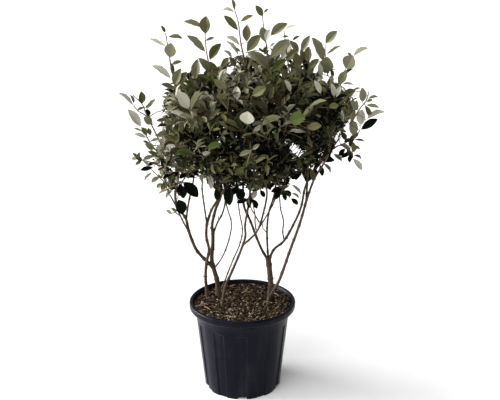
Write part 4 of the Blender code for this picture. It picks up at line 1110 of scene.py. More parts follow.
@dataclass
class PottingMix:
    """The compost: a closed body up to its surface, strewn with coarse pieces and a few sticks."""

    top_radius: float = 0.1635
    surface: float = 0.2975
    lower: tuple[Pair, ...] = ((0.1545, 0.27), (0.1245, 0.014))
    sides: int = 120
    rings: int = 22
    uneven_part: float = 0.95  # of the surface's radius
    unevenness: float = 0.0022
    pieces: int = 5600
    longest: float = 0.01
    shortest: float = 0.0026
    coarseness: float = 2.6  # the higher, the fewer large pieces
    margin: float = 0.002  # the strip along the wall that no piece's middle is in
    lift: Pair = (-0.0005, 0.0022)  # how high above the surface a piece lies
    size_lift: float = 0.12  # and how much higher, by its size
    tilt: Pair = (0.45, 0.35)
    forms: tuple[Point, ...] = ((1.0, 0.62, 0.34), (1.0, 0.3, 0.22), (0.9, 0.8, 0.62))
    sharp: float = math.radians(20)
    sticks: tuple[tuple[float, float, float, float], ...] = (
        (-0.142, -0.035, 0.036, 27.0),
        (-0.128, -0.022, 0.03, 12.0),
        (-0.118, -0.052, 0.026, -38.0),
        (0.086, -0.006, 0.03, 8.0),
        (0.03, -0.104, 0.034, 62.0),
        (-0.04, -0.12, 0.028, -14.0),
        (0.01, 0.08, 0.03, 35.0),
        (0.118, 0.058, 0.026, -50.0),
    )  # where a stick's middle lies, its length and its turn in degrees
    stick_radius: float = 0.0013
    stick_parts: int = 6
    stick_sides: int = 8
    stick_taper: float = 0.25
    stick_lift: float = 0.0052
    stick_bend: float = 0.0012
    stick_sunk: float = 0.004
    seed: int = 11

    def build(self) -> None:
        """Model the compost, hand it over in place of its solid, and strew its surface."""
        bpy.ops.mesh.primitive_circle_add(
            vertices=self.sides, radius=self.top_radius, fill_type="NGON", location=(0, 0, self.surface)
        )
        with Workpiece("compost_bed") as bed:
            for _ in range(self.rings):
                bpy.ops.mesh.inset(thickness=self.top_radius / (self.rings + 1), depth=0.0)
            bed.select(lambda place: math.hypot(place.x, place.y) < self.uneven_part * self.top_radius)
            bed.roughen(offset=self.unevenness, uniform=0.2, seed=self.seed)
            bed.select(lambda place: math.hypot(place.x, place.y) > self.top_radius - 0.001)
            bed.extrude_rings([(self.top_radius, self.surface), *self.lower])
            bed.face_outwards()
        bed.dress(Compost().material(), "potting_soil", ["soil"])
        self.strew()
        self.lay_sticks()

    def crumb_shapes(self) -> list[Shape]:
        """A chip, a splinter and a lump, each of a few faces."""
        shapes = []
        for seed, size in enumerate(self.forms, 3):
            bpy.ops.mesh.primitive_ico_sphere_add(subdivisions=1, radius=0.5)
            with Workpiece("crumb", size) as crumb:
                crumb.roughen(offset=0.09, uniform=0.7, seed=seed)
            shapes.append(Shape.taken_from(crumb.object))
        return shapes

    def strew(self) -> None:
        """Strew the coarse pieces over the surface, each kind joined into one piece."""
        shapes = self.crumb_shapes()
        rng = random.Random(self.seed)
        dealt = [Dealt("crumbs_" + crumb.name, shapes) for crumb in CRUMBS]
        shares = [crumb.share for crumb in CRUMBS]
        for _ in range(self.pieces):
            reach = (self.top_radius - self.margin) * math.sqrt(rng.random())
            turn = rng.uniform(0, math.tau)
            size = self.shortest + (self.longest - self.shortest) * rng.random() ** self.coarseness
            height = self.surface + rng.uniform(*self.lift) + self.size_lift * size
            place = Vector((reach * math.cos(turn), reach * math.sin(turn), height))
            spin = Matrix.Rotation(rng.uniform(0, math.tau), 3, "Z")
            for stray, axis in zip(self.tilt, "XY"):
                spin = spin @ Matrix.Rotation(rng.gauss(0, stray), 3, axis)
            frame = [column * size for column in spin.col]
            kind = rng.choices(range(len(CRUMBS)), shares)[0]
            dealt[kind].add(rng.randrange(len(shapes)), frame, place)
        for crumb, pieces in zip(CRUMBS, dealt):
            hand_over(pieces.build([crumb.material()], self.sharp), ["soil"])

    def lay_sticks(self) -> None:
        """Lay a few pale sticks on the surface, each a little bent and sunk in at one end."""
        paths = []
        for across, back, length, turn in self.sticks:
            way = level_way(math.radians(turn)) * (length / 2)
            middle = Vector((across, back, self.surface + self.stick_lift))
            points = [middle - way, middle + UP * self.stick_bend, middle + way - UP * self.stick_sunk]
            line = smooth_points(points, length / self.stick_parts)
            paths.append(Path(line, self.stick_radius_at))
        tubes("sticks", paths, self.stick_sides).dress(STICK_WOOD.material(), "potting_soil", ["soil"])

    def stick_radius_at(self, run: float, length: float) -> float:
        """A stick's radius after a run of its length."""
        return self.stick_radius * (1 - self.stick_taper * run / length)


def smooth_points(points: Sequence[Vector], step: float) -> list[Vector]:
    """Points about one step apart on a smooth curve through the given ones.

    Args:
        points: The given points.
        step: The length between two new ones.

    Returns:
        The new points.
    """
    knots = [points[0] * 2 - points[1], *points, points[-1] * 2 - points[-2]]
    path = [points[0].copy()]
    for before, start, end, after in zip(knots, knots[1:], knots[2:], knots[3:]):
        parts = max(1, round((end - start).length / step))
        for part in range(1, parts + 1):
            t = part / parts
            straight = (end - before) * t
            bend = (2 * before - 5 * start + 4 * end - after) * t**2
            turn = (3 * start - before - 3 * end + after) * t**3
            path.append((2 * start + straight + bend + turn) * 0.5)
    return path


class Path:
    """A line through points, with the length run at each and a radius there."""

    def __init__(self, points: Sequence[Vector], radii: Callable[[float, float], float]) -> None:
        """Measure the line.

        Args:
            points: The points.
            radii: The radius from the length run and the whole length.
        """
        self.points = list(points)
        self.runs = [0.0]
        for a, b in zip(self.points, self.points[1:]):
            self.runs.append(self.runs[-1] + (b - a).length)
        self.length = self.runs[-1]
        self.radii = [radii(run, self.length) for run in self.runs]

    def at(self, run: float) -> tuple[Vector, Vector]:
        """Follow the line.

        Args:
            run: The length that is followed.

        Returns:
            The place there, and the way of the line.
        """
        for a, b, low, high in zip(self.points, self.points[1:], self.runs, self.runs[1:]):
            if run <= high:
                return a.lerp(b, max(0.0, run - low) / (high - low)), (b - a).normalized()
        return self.points[-1].copy(), (self.points[-1] - self.points[-2]).normalized()


def side_way(way: Vector, turn: float) -> Vector:
    """A way square to another one, at a turn about it."""
    return Matrix.Rotation(turn, 3, way) @ way.orthogonal().normalized()


def tubes(name: str, paths: Iterable[Path], sides: int) -> Workpiece:
    """Round solids along paths, made as curves with a round profile and turned into a mesh.

    Args:
        name: The piece's name.
        paths: The paths, each with its radii.
        sides: How many sides each has round its way.

    Returns:
        The piece.
    """
    curve = bpy.data.curves.new(name, "CURVE")
    curve.dimensions = "3D"
    curve.bevel_depth = 1.0
    curve.bevel_resolution = max(0, sides // 2 - 2)
    curve.use_fill_caps = True
    for path in paths:
        spline = curve.splines.new("POLY")
        spline.points.add(len(path.points) - 1)
        for knot, place, radius in zip(spline.points, path.points, path.radii):
            knot.co = (*place, 1.0)
            knot.radius = radius
    made = bpy.data.objects.new(name, curve)
    bpy.context.scene.collection.objects.link(made)
    choose(made)
    bpy.ops.object.convert(target="MESH")
    return Workpiece(name)


@dataclass
class Wood:
    """The stems and boughs with their bark: knots, leaf scars and short spurs."""

    step: float = 0.005
    sides: int = 14
    with_bark: float = 1.08  # how much thicker the limbs are with their bark's ridges
    flare: Pair = (0.45, 0.018)  # how much wider a stem's root is, and how high up that fades
    collar: Pair = (0.3, 0.01)  # the same for a bough's root
    sunk: float = 0.006  # how far a stem goes on into the compost
    knot_spacing: float = 0.042
    knot_stray: Pair = (0.55, 1.45)
    first_knot: Pair = (0.3, 0.8)  # from the root, by the spacing
    knot_swell: float = 0.26
    knot_length: float = 0.0035
    relief: float = 0.0009
    relief_size: float = 0.0055
    spur_reach: float = 0.75  # how far from a limb's centre line a spur's foot is, by its radius
    spur_tip: float = 0.8  # above this part of its height, a spur is bent to one side
    spur_bend: float = 0.12
    spur_sharp: float = math.radians(50)
    thorns: float = 0.22  # the share of spurs that are thorns
    thorn_lengths: Pair = (0.007, 0.013)
    thorn_width: float = 0.0022
    thorn_lean: float = 0.5  # how far it leans towards the limb's tip
    bud_lengths: Pair = (0.0018, 0.0038)
    bud_width: float = 0.9  # by the limb's radius
    bud_rim: float = 0.0008
    bud_lean: float = 0.9
    seed: int = 5
    grown: dict[str, Path] = field(default_factory=dict)

    def knots_of(self, limb: Limb, length: float) -> list[float]:
        """Where a limb has its knots.

        Args:
            limb: The limb.
            length: Its length.

        Returns:
            Lengths from its root.
        """
        rng = random.Random(limb.name)
        knots = []
        run = rng.uniform(*self.first_knot) * self.knot_spacing
        while run < length:
            knots.append(run)
            run += self.knot_spacing * rng.uniform(*self.knot_stray)
        return knots

    def path_of(self, limb: Limb) -> Path:
        """A limb's smooth centre line, with its taper, flare or collar, and knots.

        Args:
            limb: The limb.

        Returns:
            Its path.
        """
        points = [Vector(point) for point in limb.through]
        if limb.parent:
            parent = self.grown[limb.parent]
            points.insert(0, parent.at(limb.at * parent.length)[0])
        else:
            points.insert(0, points[0] - UP * self.sunk)
        line = smooth_points(points, self.step)
        knots = self.knots_of(limb, sum((b - a).length for a, b in zip(line, line[1:])))
        swell, height = self.collar if limb.parent else self.flare

        def radius(run: float, length: float) -> float:
            """An even taper, wider at the root and at each knot."""
            even = (limb.root_radius + (limb.tip_radius - limb.root_radius) * run / length) * self.with_bark
            knot = sum(math.exp(-(((run - place) / self.knot_length) ** 2)) for place in knots)
            return even * (1 + swell * math.exp(-run / height) + self.knot_swell * knot)

        return Path(line, radius)

    def build(self) -> None:
        """Model all limbs and hand them over in place of their solids."""
        for limb in LIMBS:
            self.grown[limb.name] = self.path_of(limb)
        bark = Bark().material()
        for kind in ("stem", "bough"):
            names = [limb.name for limb in LIMBS if limb.name.startswith(kind)]
            wood = tubes(kind + "s", [self.grown[name] for name in names], self.sides)
            lumps = bpy.data.textures.new(kind + "_relief", "CLOUDS")
            lumps.noise_scale = self.relief_size
            wood.modify("DISPLACE", texture=lumps, strength=self.relief, mid_level=0.5)
            wood.dress(bark, "bark", names)
        self.spurs(bark)

    def spur_shape(self) -> Shape:
        """A short blunt spur, its foot at the origin, pointing up."""
        bpy.ops.mesh.primitive_cone_add(vertices=7, radius1=0.5, radius2=0.16, depth=1.0, location=UP / 2)
        with Workpiece("spur") as spur:
            bpy.ops.mesh.subdivide(number_cuts=2)
            spur.select(lambda place: place.z > self.spur_tip)
            bpy.ops.transform.translate(value=(self.spur_bend, 0.0, 0.0))
            bpy.ops.mesh.select_all(action="SELECT")
            spur.roughen(offset=0.05, uniform=0.5, seed=self.seed)
        return Shape.taken_from(spur.object)

    def spurs(self, bark: bpy.types.Material) -> None:
        """Set a spur at every knot: a bud, a leaf scar's ledge, or now and then a thorn.

        Args:
            bark: Their finish.
        """
        rng = random.Random(self.seed)
        dealt = Dealt("spurs", [self.spur_shape()])
        for limb in LIMBS:
            path = self.grown[limb.name]
            turn = rng.uniform(0, math.tau)
            for run in self.knots_of(limb, path.length):
                turn += GOLDEN_TURN
                place, way = path.at(run)
                radius = float(np.interp(run, path.runs, path.radii))
                side = side_way(way, turn)
                width = self.bud_width * radius + self.bud_rim
                length, lean = self.bud_lengths, self.bud_lean
                if rng.random() < self.thorns:
                    length, width, lean = self.thorn_lengths, self.thorn_width, self.thorn_lean
                up = (side + way * lean).normalized()
                across = up.cross(side.cross(up)).normalized()
                frame = [across * width, up.cross(across) * width, up * rng.uniform(*length)]
                dealt.add(0, frame, place + side * (self.spur_reach * radius))
        hand_over(dealt.build([bark], self.spur_sharp))


@dataclass(frozen=True)
class LeafForm:
    """One way that a leaf is bent: its curl down, its fold along the midrib, its wave and its twist."""

    curl: float
    fold: float
    wave: float
    twist: float


# A leaf's outline: (place along the leaf, width there) as shares of the length and the width
COARSE_ROWS = ((0.0, 0.03), (0.12, 0.06), (0.31, 0.74), (0.52, 1.0), (0.73, 0.86), (0.9, 0.44), (1.0, 0.04))
FINE_ROWS = (
    (0.0, 0.03), (0.08, 0.05), (0.17, 0.38), (0.28, 0.7), (0.41, 0.93),
    (0.55, 1.0), (0.69, 0.93), (0.82, 0.7), (0.93, 0.38), (1.0, 0.06),
)


@dataclass
class Leaves:
    """The leaves' shapes, modelled once: an oval blade on a short stalk, green above, silver below."""

    rows: tuple[Pair, ...] = COARSE_ROWS
    slices: int = 2
    waves: float = 11.0
    ripple: float = 0.014  # how far the margins wave up and down
    thickness: float = 0.01
    ease: float = 1.0  # how much of each form's curl and twist is kept
    margin: float = 0.01  # corners this near to the outline form the leaf's edge
    wavy_part: float = 0.35  # of the width, past which the margins wave
    near: float = 0.4  # of a step between rows or columns, within which corners belong to one
    forms: tuple[LeafForm, ...] = (
        LeafForm(0.2, 0.22, 0.008, 0.05),
        LeafForm(0.45, 0.34, 0.012, 0.25),
        LeafForm(-0.12, 0.18, 0.01, -0.22),
        LeafForm(0.32, 0.14, 0.014, 0.12),
        LeafForm(0.1, 0.42, 0.008, -0.12),
    )

    def shape(self, form: LeafForm) -> Shape:
        """Model one leaf of unit length and width along +Y, its upper side up.

        Args:
            form: How it is bent.

        Returns:
            The leaf, closed at its margins, with its upper side in slot 0 and its underside in slot 1.
        """
        last = len(self.rows) - 1
        bpy.ops.mesh.primitive_grid_add(
            x_subdivisions=self.slices, y_subdivisions=last, size=1.0, location=(0, 0.5, 0)
        )
        with Workpiece("leaf") as leaf:
            edge = self.margin
            leaf.select(lambda place: abs(place.x) < 0.5 - edge and edge < place.y < 1 - edge)
            bpy.ops.object.vertex_group_assign_new()
            for column in range(self.slices + 1):
                across = column / self.slices - 0.5
                leaf.select(lambda place: abs(place.x - across) < self.near / self.slices)
                bpy.ops.transform.translate(value=(0.0, 0.0, form.fold * abs(across)))
            for index, (along, width) in enumerate(self.rows):
                even = index / last
                leaf.select(lambda place: abs(place.y - even) < self.near / last)
                bpy.ops.transform.resize(value=(width, 1.0, width), center_override=(0.0, even, 0.0))
                bulge = self.ease * (along - along**2)
                side = form.twist * bulge
                lift = form.wave * math.sin(self.waves * along) + form.curl * bulge
                bpy.ops.transform.translate(value=(side, along - even, lift))
                inner = self.wavy_part * width
                leaf.select(lambda place: abs(place.x - side) > inner and abs(place.y - along) < edge)
                bpy.ops.transform.translate(value=(0.0, 0.0, self.ripple * width * (-1) ** index))
        blade = leaf.object.vertex_groups[0].name
        walls = {"thickness": self.thickness, "offset": -1.0, "material_offset": 1, "use_rim": False}
        leaf.modify("SOLIDIFY", **walls, vertex_group=blade)
        leaf.modify("WELD", merge_threshold=0.0005)
        return Shape.taken_from(leaf.object)

    def shapes(self) -> list[Shape]:
        """All the leaf's forms."""
        return [self.shape(form) for form in self.forms]


@dataclass(frozen=True)
class Crown:
    """The crown's outer shape: a swollen ellipsoid, shallower at its right end."""

    middle: Vector = Vector((0.04, 0.0, 0.92))
    reach: Vector = Vector((0.35, 0.34, 0.225))
    power: float = 2.5
    slant: float = 0.28
    shoot_root: Vector = Vector((0.04, 0.0, 0.64))
    leaf_reach: float = 1.13
    ends: int = 1750

    def height(self, across: float, up: float) -> float:
        """The half height at a place across, as a share of that in the middle."""
        return 1 - self.slant * (across if up < 0 else max(0.0, across))

    def holds(self, point: Vector, swell: float = 1.0) -> bool:
        """Test a point against the outer shape.

        Args:
            point: The point.
            swell: How much larger the shape is taken.

        Returns:
            True inside it.
        """
        offset = [value / reach for value, reach in zip(point - self.middle, self.reach)]
        offset[2] /= self.height(offset[0], offset[2])
        return sum(abs(value) ** self.power for value in offset) <= swell**self.power

    def points(self) -> list[Vector]:
        """Evenly spread places inside the outer shape, from a golden-ratio sequence."""
        ratios = ((1 + math.sqrt(5)) / 2, math.sqrt(2), math.sqrt(3))
        found = []
        index = 0
        while len(found) < self.ends:
            index += 1
            unit = [2 * ((index * ratio) % 1.0) - 1 for ratio in ratios]
            unit[2] *= self.height(unit[0], unit[2])
            point = self.middle + Vector(value * reach for value, reach in zip(unit, self.reach))
            if self.holds(point):
                found.append(point)
        return found

    def outwards(self, point: Vector) -> Vector:
        """The way from the foot of the crown's growth to a point."""
        return (point - self.shoot_root).normalized()

    def in_mass(self, point: Vector, mass: Mass) -> bool:
        """True where no other mass's middle is nearer."""
        return min(MASSES, key=lambda other: (point - other.middle).length_squared) is mass


@dataclass(frozen=True)
class View:
    """The first view: where its camera stands, and what lies at a place of its picture."""

    place: Vector = Vector((0.0258, -2.8, 1.575))
    pitch: float = math.radians(72.0)
    lens: float = 64.61
    sensor: float = 36.0
    width: float = 500.0
    height: float = 400.0

    @property
    def focal(self) -> float:
        """The lens's length in pixels of the picture."""
        return self.lens / self.sensor * self.width

    def point(self, place: Sequence[float], depth: float) -> Vector:
        """The point seen at a place of the picture.

        Args:
            place: Across and down from the upper left corner.
            depth: The point's Y.

        Returns:
            The point.
        """
        across = (place[0] - self.width / 2) / self.focal
        up = (self.height / 2 - place[1]) / self.focal
        ray = Matrix.Rotation(self.pitch, 3, "X") @ Vector((across, up, -1.0))
        return self.place + ray * ((depth - self.place.y) / ray.y)

    def seen(self, point: Vector) -> Pair:
        """The place of the picture, across and down, at which a point is seen."""
        ray = Matrix.Rotation(-self.pitch, 3, "X") @ (point - self.place)
        return self.width / 2 - self.focal * ray.x / ray.z, self.height / 2 + self.focal * ray.y / ray.z

    def near_one(self, point: Vector, places: Iterable[Point]) -> bool:
        """True where a point is seen inside one of the round places."""
        seen = self.seen(point)
        return any(math.dist(seen, place[:2]) < place[2] for place in places)

    def in_outline(self, point: Vector) -> bool:
        """Test a point against the crown's outline.

        Args:
            point: The point.

        Returns:
            True where it is seen inside the outline and not against the sky.
        """
        if self.near_one(point, SKY):
            return False
        across, down = self.seen(point)
        inside = False
        for (x, y), (x_next, y_next) in zip(OUTLINE, OUTLINE[1:] + OUTLINE[:1]):
            if (y > down) != (y_next > down) and across < x + (x_next - x) * (down - y) / (y_next - y):
                inside = not inside
        return inside


VIEW = View()


def share_of(value: float, low: float, span: float) -> float:
    """How far a value is above a low one, as a share of a span, kept between 0 and 1."""
    return min(1.0, max(0.0, (value - low) / span))


@dataclass
class Foliage:
    """All twigs and leaves, grown mass by mass by the rule of the solids and on to finer twigs."""

    wood: Wood
    crown: Crown = field(default_factory=Crown)
    first_twigs: int = 5  # those that the solids have too
    further: float = 0.025  # how far they run on past the ends of the solids' ones
    draw_step: float = 0.05  # of the way to the crown's middle, by which a long shoot is drawn in
    twig_step: float = 0.018
    least_parts: int = 3
    twig_sides: int = 6
    tip_radius: float = 0.0008
    lead_step: float = 0.0045  # between the points of a leader's stem
    lead_radius: float = 0.0015  # at a leader's tip
    stalk_radius: float = 0.0012  # under a leader's leaf
    stalk_from: float = 0.25  # of the leaves' spacing: nearer to its stem, a leaf needs no such stalk
    join_rise: float = 0.1  # how far such a stalk bends upwards, by its length
    taper: float = 0.009  # how much thicker a twig is at its root, by its length
    share: float = 0.8  # a twig's thickness at its root, at most, by that of what carries it
    bend: float = 0.45
    straight_start: float = 0.012
    turn_cost: float = 0.8
    run_cost: float = 0.7
    leaf_sharp: float = math.radians(24)
    leaf_length: float = 0.049
    leaf_width: float = 0.0152
    width_stray: Pair = (0.88, 1.12)
    shoot_share: float = 1.15  # how much larger the leaves of long shoots are
    sizes: Pair = (0.36, 1.26)
    tip_size: float = 0.75
    young_part: float = 2.5  # of the leaves' spacing, from a twig's tip
    young_size: float = 0.85
    leaf_angle: float = math.radians(52)
    rise: float = 0.35  # how far leaves at the crown's top turn up, and at its foot down
    stray: float = 0.2
    light_outwards: float = 0.45
    light_stray: float = 0.7
    spacing: float = 0.0085
    spacing_stray: Pair = (0.8, 1.2)
    bare_share: float = 0.15
    size_heights: Pair = (0.75, 0.4)  # from where up, and over how much height, the leaves grow larger
    low_size: float = 0.68
    high_gain: float = 0.4
    left_loss: float = 0.12  # how much smaller the leaves are at the lower left
    left_reach: float = 0.25
    painted_light_heights: Pair = (0.72, 0.45)  # from where up, and over how much height, twigs are dealt lighter greens, partly painted light
    open_heights: Pair = (0.92, 0.16)  # the same for where fewer twigs get the SHADED greens of painted shade
    inner: float = 0.85  # of the crown's reach, within which twigs are dealt darker greens, as painted shade
    inner_left: float = 0.15  # and how much less at the left
    shade_back: float = 0.1  # the Y up to which twigs in the first view's deep shade get the greens of painted shade
    tip_free: float = 0.3  # how much of a leaf's outer half may stand out of the outline
    apart: float = 0.0056  # how near two leaves' middles may come
    silver_backs: float = 0.6  # the share of twigs whose leaves have a bright underside
    set_width: float = 0.36  # a leader's leaf, width by length
    set_face: float = 0.95  # the broadest that such a leaf looks, by its own width
    set_lean: float = 0.012  # how far such a leaf's tip leans to the front or the back
    set_cover: float = 0.35  # how much of its length round its middle is kept free in the first view

    def __post_init__(self) -> None:
        """Start with no twigs or leaves."""
        shapes = Leaves().shapes() + Leaves(rows=FINE_ROWS, slices=4, ease=0.5).shapes()
        self.forms = len(shapes) // 2
        self.twigs: list[Path] = []
        # each painted shade tone pairs only with the DIM underside, painted shade too
        self.dealt = {
            (tone, back): Dealt(f"leaves_{tone.name.lower()}_{back.name.lower()}", shapes)
            for tone in LeafTone
            for back in BackTone
            if (tone in PAINTED_SHADE_TONES) == (back is BackTone.DIM)
        }
        self.taken: dict[tuple[int, int, int], list[Vector]] = {}
        self.shown: list[tuple[float, float, float, float]] = []
        self.rng = random.Random()

    def targets(self, mass: Mass, points: Sequence[Vector]) -> list[tuple[Vector, bool]]:
        """The ends of a mass's twigs, each with whether it is a long shoot.

        Args:
            mass: The mass.
            points: The crown's points.

        Returns:
            Its middle, the shoots in its space, the solids' twig ends, and then the finer ones.
        """
        crown = self.crown
        shoots = [self.drawn_in(Vector(tip)) for tip in SHOOTS if crown.in_mass(Vector(tip), mass)]
        own = [point for point in points if crown.in_mass(point, mass)]
        first, finer = (
            sorted(part, key=lambda point: (point - mass.middle).length)
            for part in (own[: self.first_twigs], own[self.first_twigs :])
        )
        first = [tip + crown.outwards(tip) * self.further for tip in first]
        ends = [(mass.middle, False), *((tip, True) for tip in shoots)]
        return ends + [(tip, False) for tip in first + finer]

    def drawn_in(self, tip: Vector) -> Vector:
        """A shoot's tip, drawn towards the crown's middle until the first view's outline holds it."""
        while not VIEW.in_outline(tip):
            tip = tip.lerp(self.crown.middle, self.draw_step)
        return tip

    def cost(self, node: tuple[Vector, Vector, float, float], target: Vector) -> float:
        """How ill a place suits a twig: far off, sharply turned, or far from the foot.

        Args:
            node: The place, the way there, its run from the foot, and the radius.
            target: The twig's end.

        Returns:
            The cost.
        """
        point, way, run, _ = node
        step = target - point
        turn = 1 - way.dot(step.normalized())
        return step.length * (1 + self.turn_cost * turn) + self.run_cost * run

    def grow(self, mass: Mass, points: Sequence[Vector]) -> None:
        """Grow one mass's twigs and leaves.

        Args:
            mass: The mass.
            points: The crown's points.
        """
        self.rng = random.Random(mass.name)
        carrier = self.wood.grown[mass.carrier]
        nodes = [(*carrier.at(carrier.length), 0.0, carrier.radii[-1])]
        for target, shoot in self.targets(mass, points):
            first = len(nodes) == 1
            if not (shoot or first or VIEW.in_outline(target)):
                continue
            point, way, run, thick = min(nodes, key=lambda node: self.cost(node, target))
            through = [point] if first else []
            point = point + way * (self.straight_start if first else 0.0)
            step = (target - point).length
            if step < self.spacing:
                continue
            bend = point + way * (self.bend * step)
            if shoot:
                bend = target - self.crown.outwards(target) * (self.bend * step)
            parts = max(self.least_parts, round(step / self.twig_step))
            for part in range(parts + 1):
                t = part / parts
                through.append(point * (1 - t) ** 2 + bend * (2 * t * (1 - t)) + target * t**2)
            root = thick if first else min(self.tip_radius + self.taper * step, self.share * thick)
            path = Path(through, lambda at, length: root + (self.tip_radius - root) * at / length)
            for start, end, at, radius in zip(through, through[1:], path.runs[1:], path.radii[1:]):
                nodes.append((end, (end - start).normalized(), run + at, radius))
            self.twigs.append(path)
            tone = self.tone_at(target, shoot)
            backs = (self.silver_backs, 1 - self.silver_backs)
            back = self.rng.choices((BackTone.SILVER, BackTone.DULL), backs)[0]
            # leaves of the painted shade tones take the DIM underside, painted shade too
            leaves = self.dealt[tone, BackTone.DIM if tone in PAINTED_SHADE_TONES else back]
            self.leaf_out(path, leaves, self.shoot_share if shoot else 1.0)

    def tone_at(self, place: Vector, shoot: bool) -> LeafTone:
        """Choose a twig's green: darker low, deep in the crown and in the first view's deep shade, as
        painted shade, and lighter at the top and the left where the light falls, as painted light; silvery
        on the high shoots.

        Args:
            place: The twig's end.
            shoot: Whether it is a long shoot.

        Returns:
            The tone.
        """
        height = share_of(place.z, *self.painted_light_heights)
        high = share_of(place.z, *self.open_heights)
        left = share_of(-place.x, 0.0, self.left_reach)
        tones = (SHADED, DARK, OLIVE, MOSS, FRESH, SILVERED)
        # the weights say how often each of these is dealt
        # high shoots get silvery and light greens, partly painted light
        if shoot and height > 0.5:
            weights = [0.0, 0.0, 0.26, 0.3, 0.08, 0.36]
        # in the first view's deep shade the near-black greens are dealt: painted shade
        elif place.y < self.shade_back and VIEW.near_one(place, SHADE):
            weights = [0.6, 0.26, 0.11, 0.02, 0.01, 0.0]
        # deep in the crown the darker greens are dealt: painted shade, less at the top and the left
        elif self.crown.holds(place, self.inner - self.inner_left * left):
            shaded = (0.48 - 0.24 * height) * (1.0 - 0.7 * high)
            olive, moss = 0.14 + 0.1 * height + 0.1 * high, 0.1 * height + 0.1 * high
            weights = [shaded, 0.38 - 0.1 * high, olive, moss, 0.0, 0.04 * high]
        else:
            # outside, the greens grow lighter toward the top and the left where the light falls, as painted
            # light, and the SHADED and DARK shares of painted shade shrink there
            painted_light = min(1.0, 0.5 * height + 0.65 * left)
            dark = 0.56 - 0.3 * painted_light
            shaded = 0.6 * dark * (1.0 - 0.8 * high)
            weights = [shaded, 0.4 * dark, 0.34, 0.1 + 0.24 * painted_light, 0.05, 0.03 + 0.2 * painted_light]
        return self.rng.choices(tones, weights)[0]

    def leaf_out(self, path: Path, leaves: Dealt, larger: float) -> None:
        """Set leaves along a twig in a spiral, from its tip down, and leave its lower part bare.

        Args:
            path: The twig.
            leaves: The leaves of its tones.
            larger: How much larger than others they are.
        """
        turn = self.rng.uniform(0, math.tau)
        run = path.length
        while run > self.bare_share * path.length:
            root, way = path.at(run)
            tip = run == path.length
            turn += GOLDEN_TURN
            share = self.share_at(root)
            size = share * self.rng.uniform(*self.sizes) * (self.tip_size if tip else 1.0) * larger
            if path.length - run < self.young_part * self.spacing:
                size *= self.young_size
            angle = (0.0 if tip else self.leaf_angle) + self.rng.uniform(-self.stray, self.stray)
            ahead = way * math.cos(angle) + side_way(way, turn) * math.sin(angle)
            self.leaf(leaves, root, ahead, size)
            run -= self.spacing * share * self.rng.uniform(*self.spacing_stray)

    def share_at(self, place: Vector) -> float:
        """How large the leaves are at a place, as a share: smaller low down, most at the lower left."""
        height = share_of(place.z, *self.size_heights)
        left = share_of(-place.x, 0.0, self.left_reach)
        return self.low_size + self.high_gain * height - self.left_loss * left * (1 - height)

    def leaf(self, leaves: Dealt, root: Vector, ahead: Vector, size: float) -> None:
        """Add one leaf, its face towards the light, where it has room.

        Args:
            leaves: The leaves of its tones.
            root: Where it stands on its twig.
            ahead: The way that it points before it turns up or down.
            size: Its size, as a share of a full-grown one's.
        """
        crown, rng = self.crown, self.rng
        rise = self.rise * (root - crown.middle).z / crown.reach.z
        ahead = (ahead + UP * (rise + rng.uniform(-self.stray, self.stray))).normalized()
        light = UP + (root - crown.middle).normalized() * self.light_outwards
        light += Vector(rng.uniform(-self.light_stray, self.light_stray) for _ in range(3))
        face = (light - ahead * light.dot(ahead)).normalized()
        length = self.leaf_length * size
        tip = root + ahead * length
        middle = root + ahead * (length / 2)
        if crown.holds(root) and not crown.holds(tip, crown.leaf_reach):
            return
        if not (VIEW.in_outline(middle) and VIEW.in_outline(tip.lerp(middle, self.tip_free))):
            return
        if tip.z < SOIL_TOP or self.hides(middle) or not self.room(middle):
            return
        edge = ahead.cross(face).normalized()
        width = self.leaf_width * size * rng.uniform(*self.width_stray)
        leaves.add(rng.randrange(self.forms), [edge * width, ahead * length, face * length], root)

    def lead(self, leader: Leader) -> Vector:
        """Add a leader shoot's last part, with its leaves set one by one.

        Args:
            leader: The shoot.

        Returns:
            Its foot.
        """
        foot = leader.depth if leader.foot_depth is None else leader.foot_depth
        last = len(leader.stem) - 1
        depths = [foot + (leader.depth - foot) * index / last for index in range(last + 1)]
        points = [VIEW.point(place, depth) for place, depth in zip(leader.stem, depths)]
        line = smooth_points(points, self.lead_step)
        self.twigs.append(Path(line, lambda at, length: self.lead_radius + self.taper * (length - at)))
        for number, (*ends, tone, slim) in enumerate(leader.leaves):
            near = min(line, key=lambda place: math.dist(VIEW.seen(place), ends[:2]))
            root = VIEW.point(ends[:2], near.y)
            if (root - near).length > self.stalk_from * self.spacing:
                self.join(near, root, self.stalk_radius)
            ahead = VIEW.point(ends[2:], near.y + self.set_lean * (number % 3 - 1)) - root
            edge = ahead.cross((VIEW.place - root).normalized()).normalized()
            face = edge.cross(ahead).normalized()
            width = max(self.set_width, slim / self.set_face)
            roll = math.acos(slim / width) * (1 if edge.z > 0 else -1)
            roll = Matrix.Rotation(roll, 3, ahead)
            frame = [roll @ edge * (width * ahead.length), ahead, roll @ face * ahead.length]
            # set leaves of the painted shade tones take the DIM underside, painted shade too
            back = BackTone.DIM if tone in PAINTED_SHADE_TONES else BackTone.SILVER
            self.dealt[tone, back].add(self.forms + number % self.forms, frame, root)
            middle = root + ahead / 2
            self.room(middle)
            self.shown.append((*VIEW.seen(middle), root.y, self.set_cover * math.dist(ends[:2], ends[2:])))
        return line[0]

    def hides(self, middle: Vector) -> bool:
        """Test a place against the leaders' leaves.

        Args:
            middle: The middle of a leaf that would be there.

        Returns:
            True where it would hide one of them in the first view.
        """
        across, down = VIEW.seen(middle)
        return any(
            abs(across - x) < reach and abs(down - y) < reach and middle.y < depth
            for x, y, depth, reach in self.shown
        )

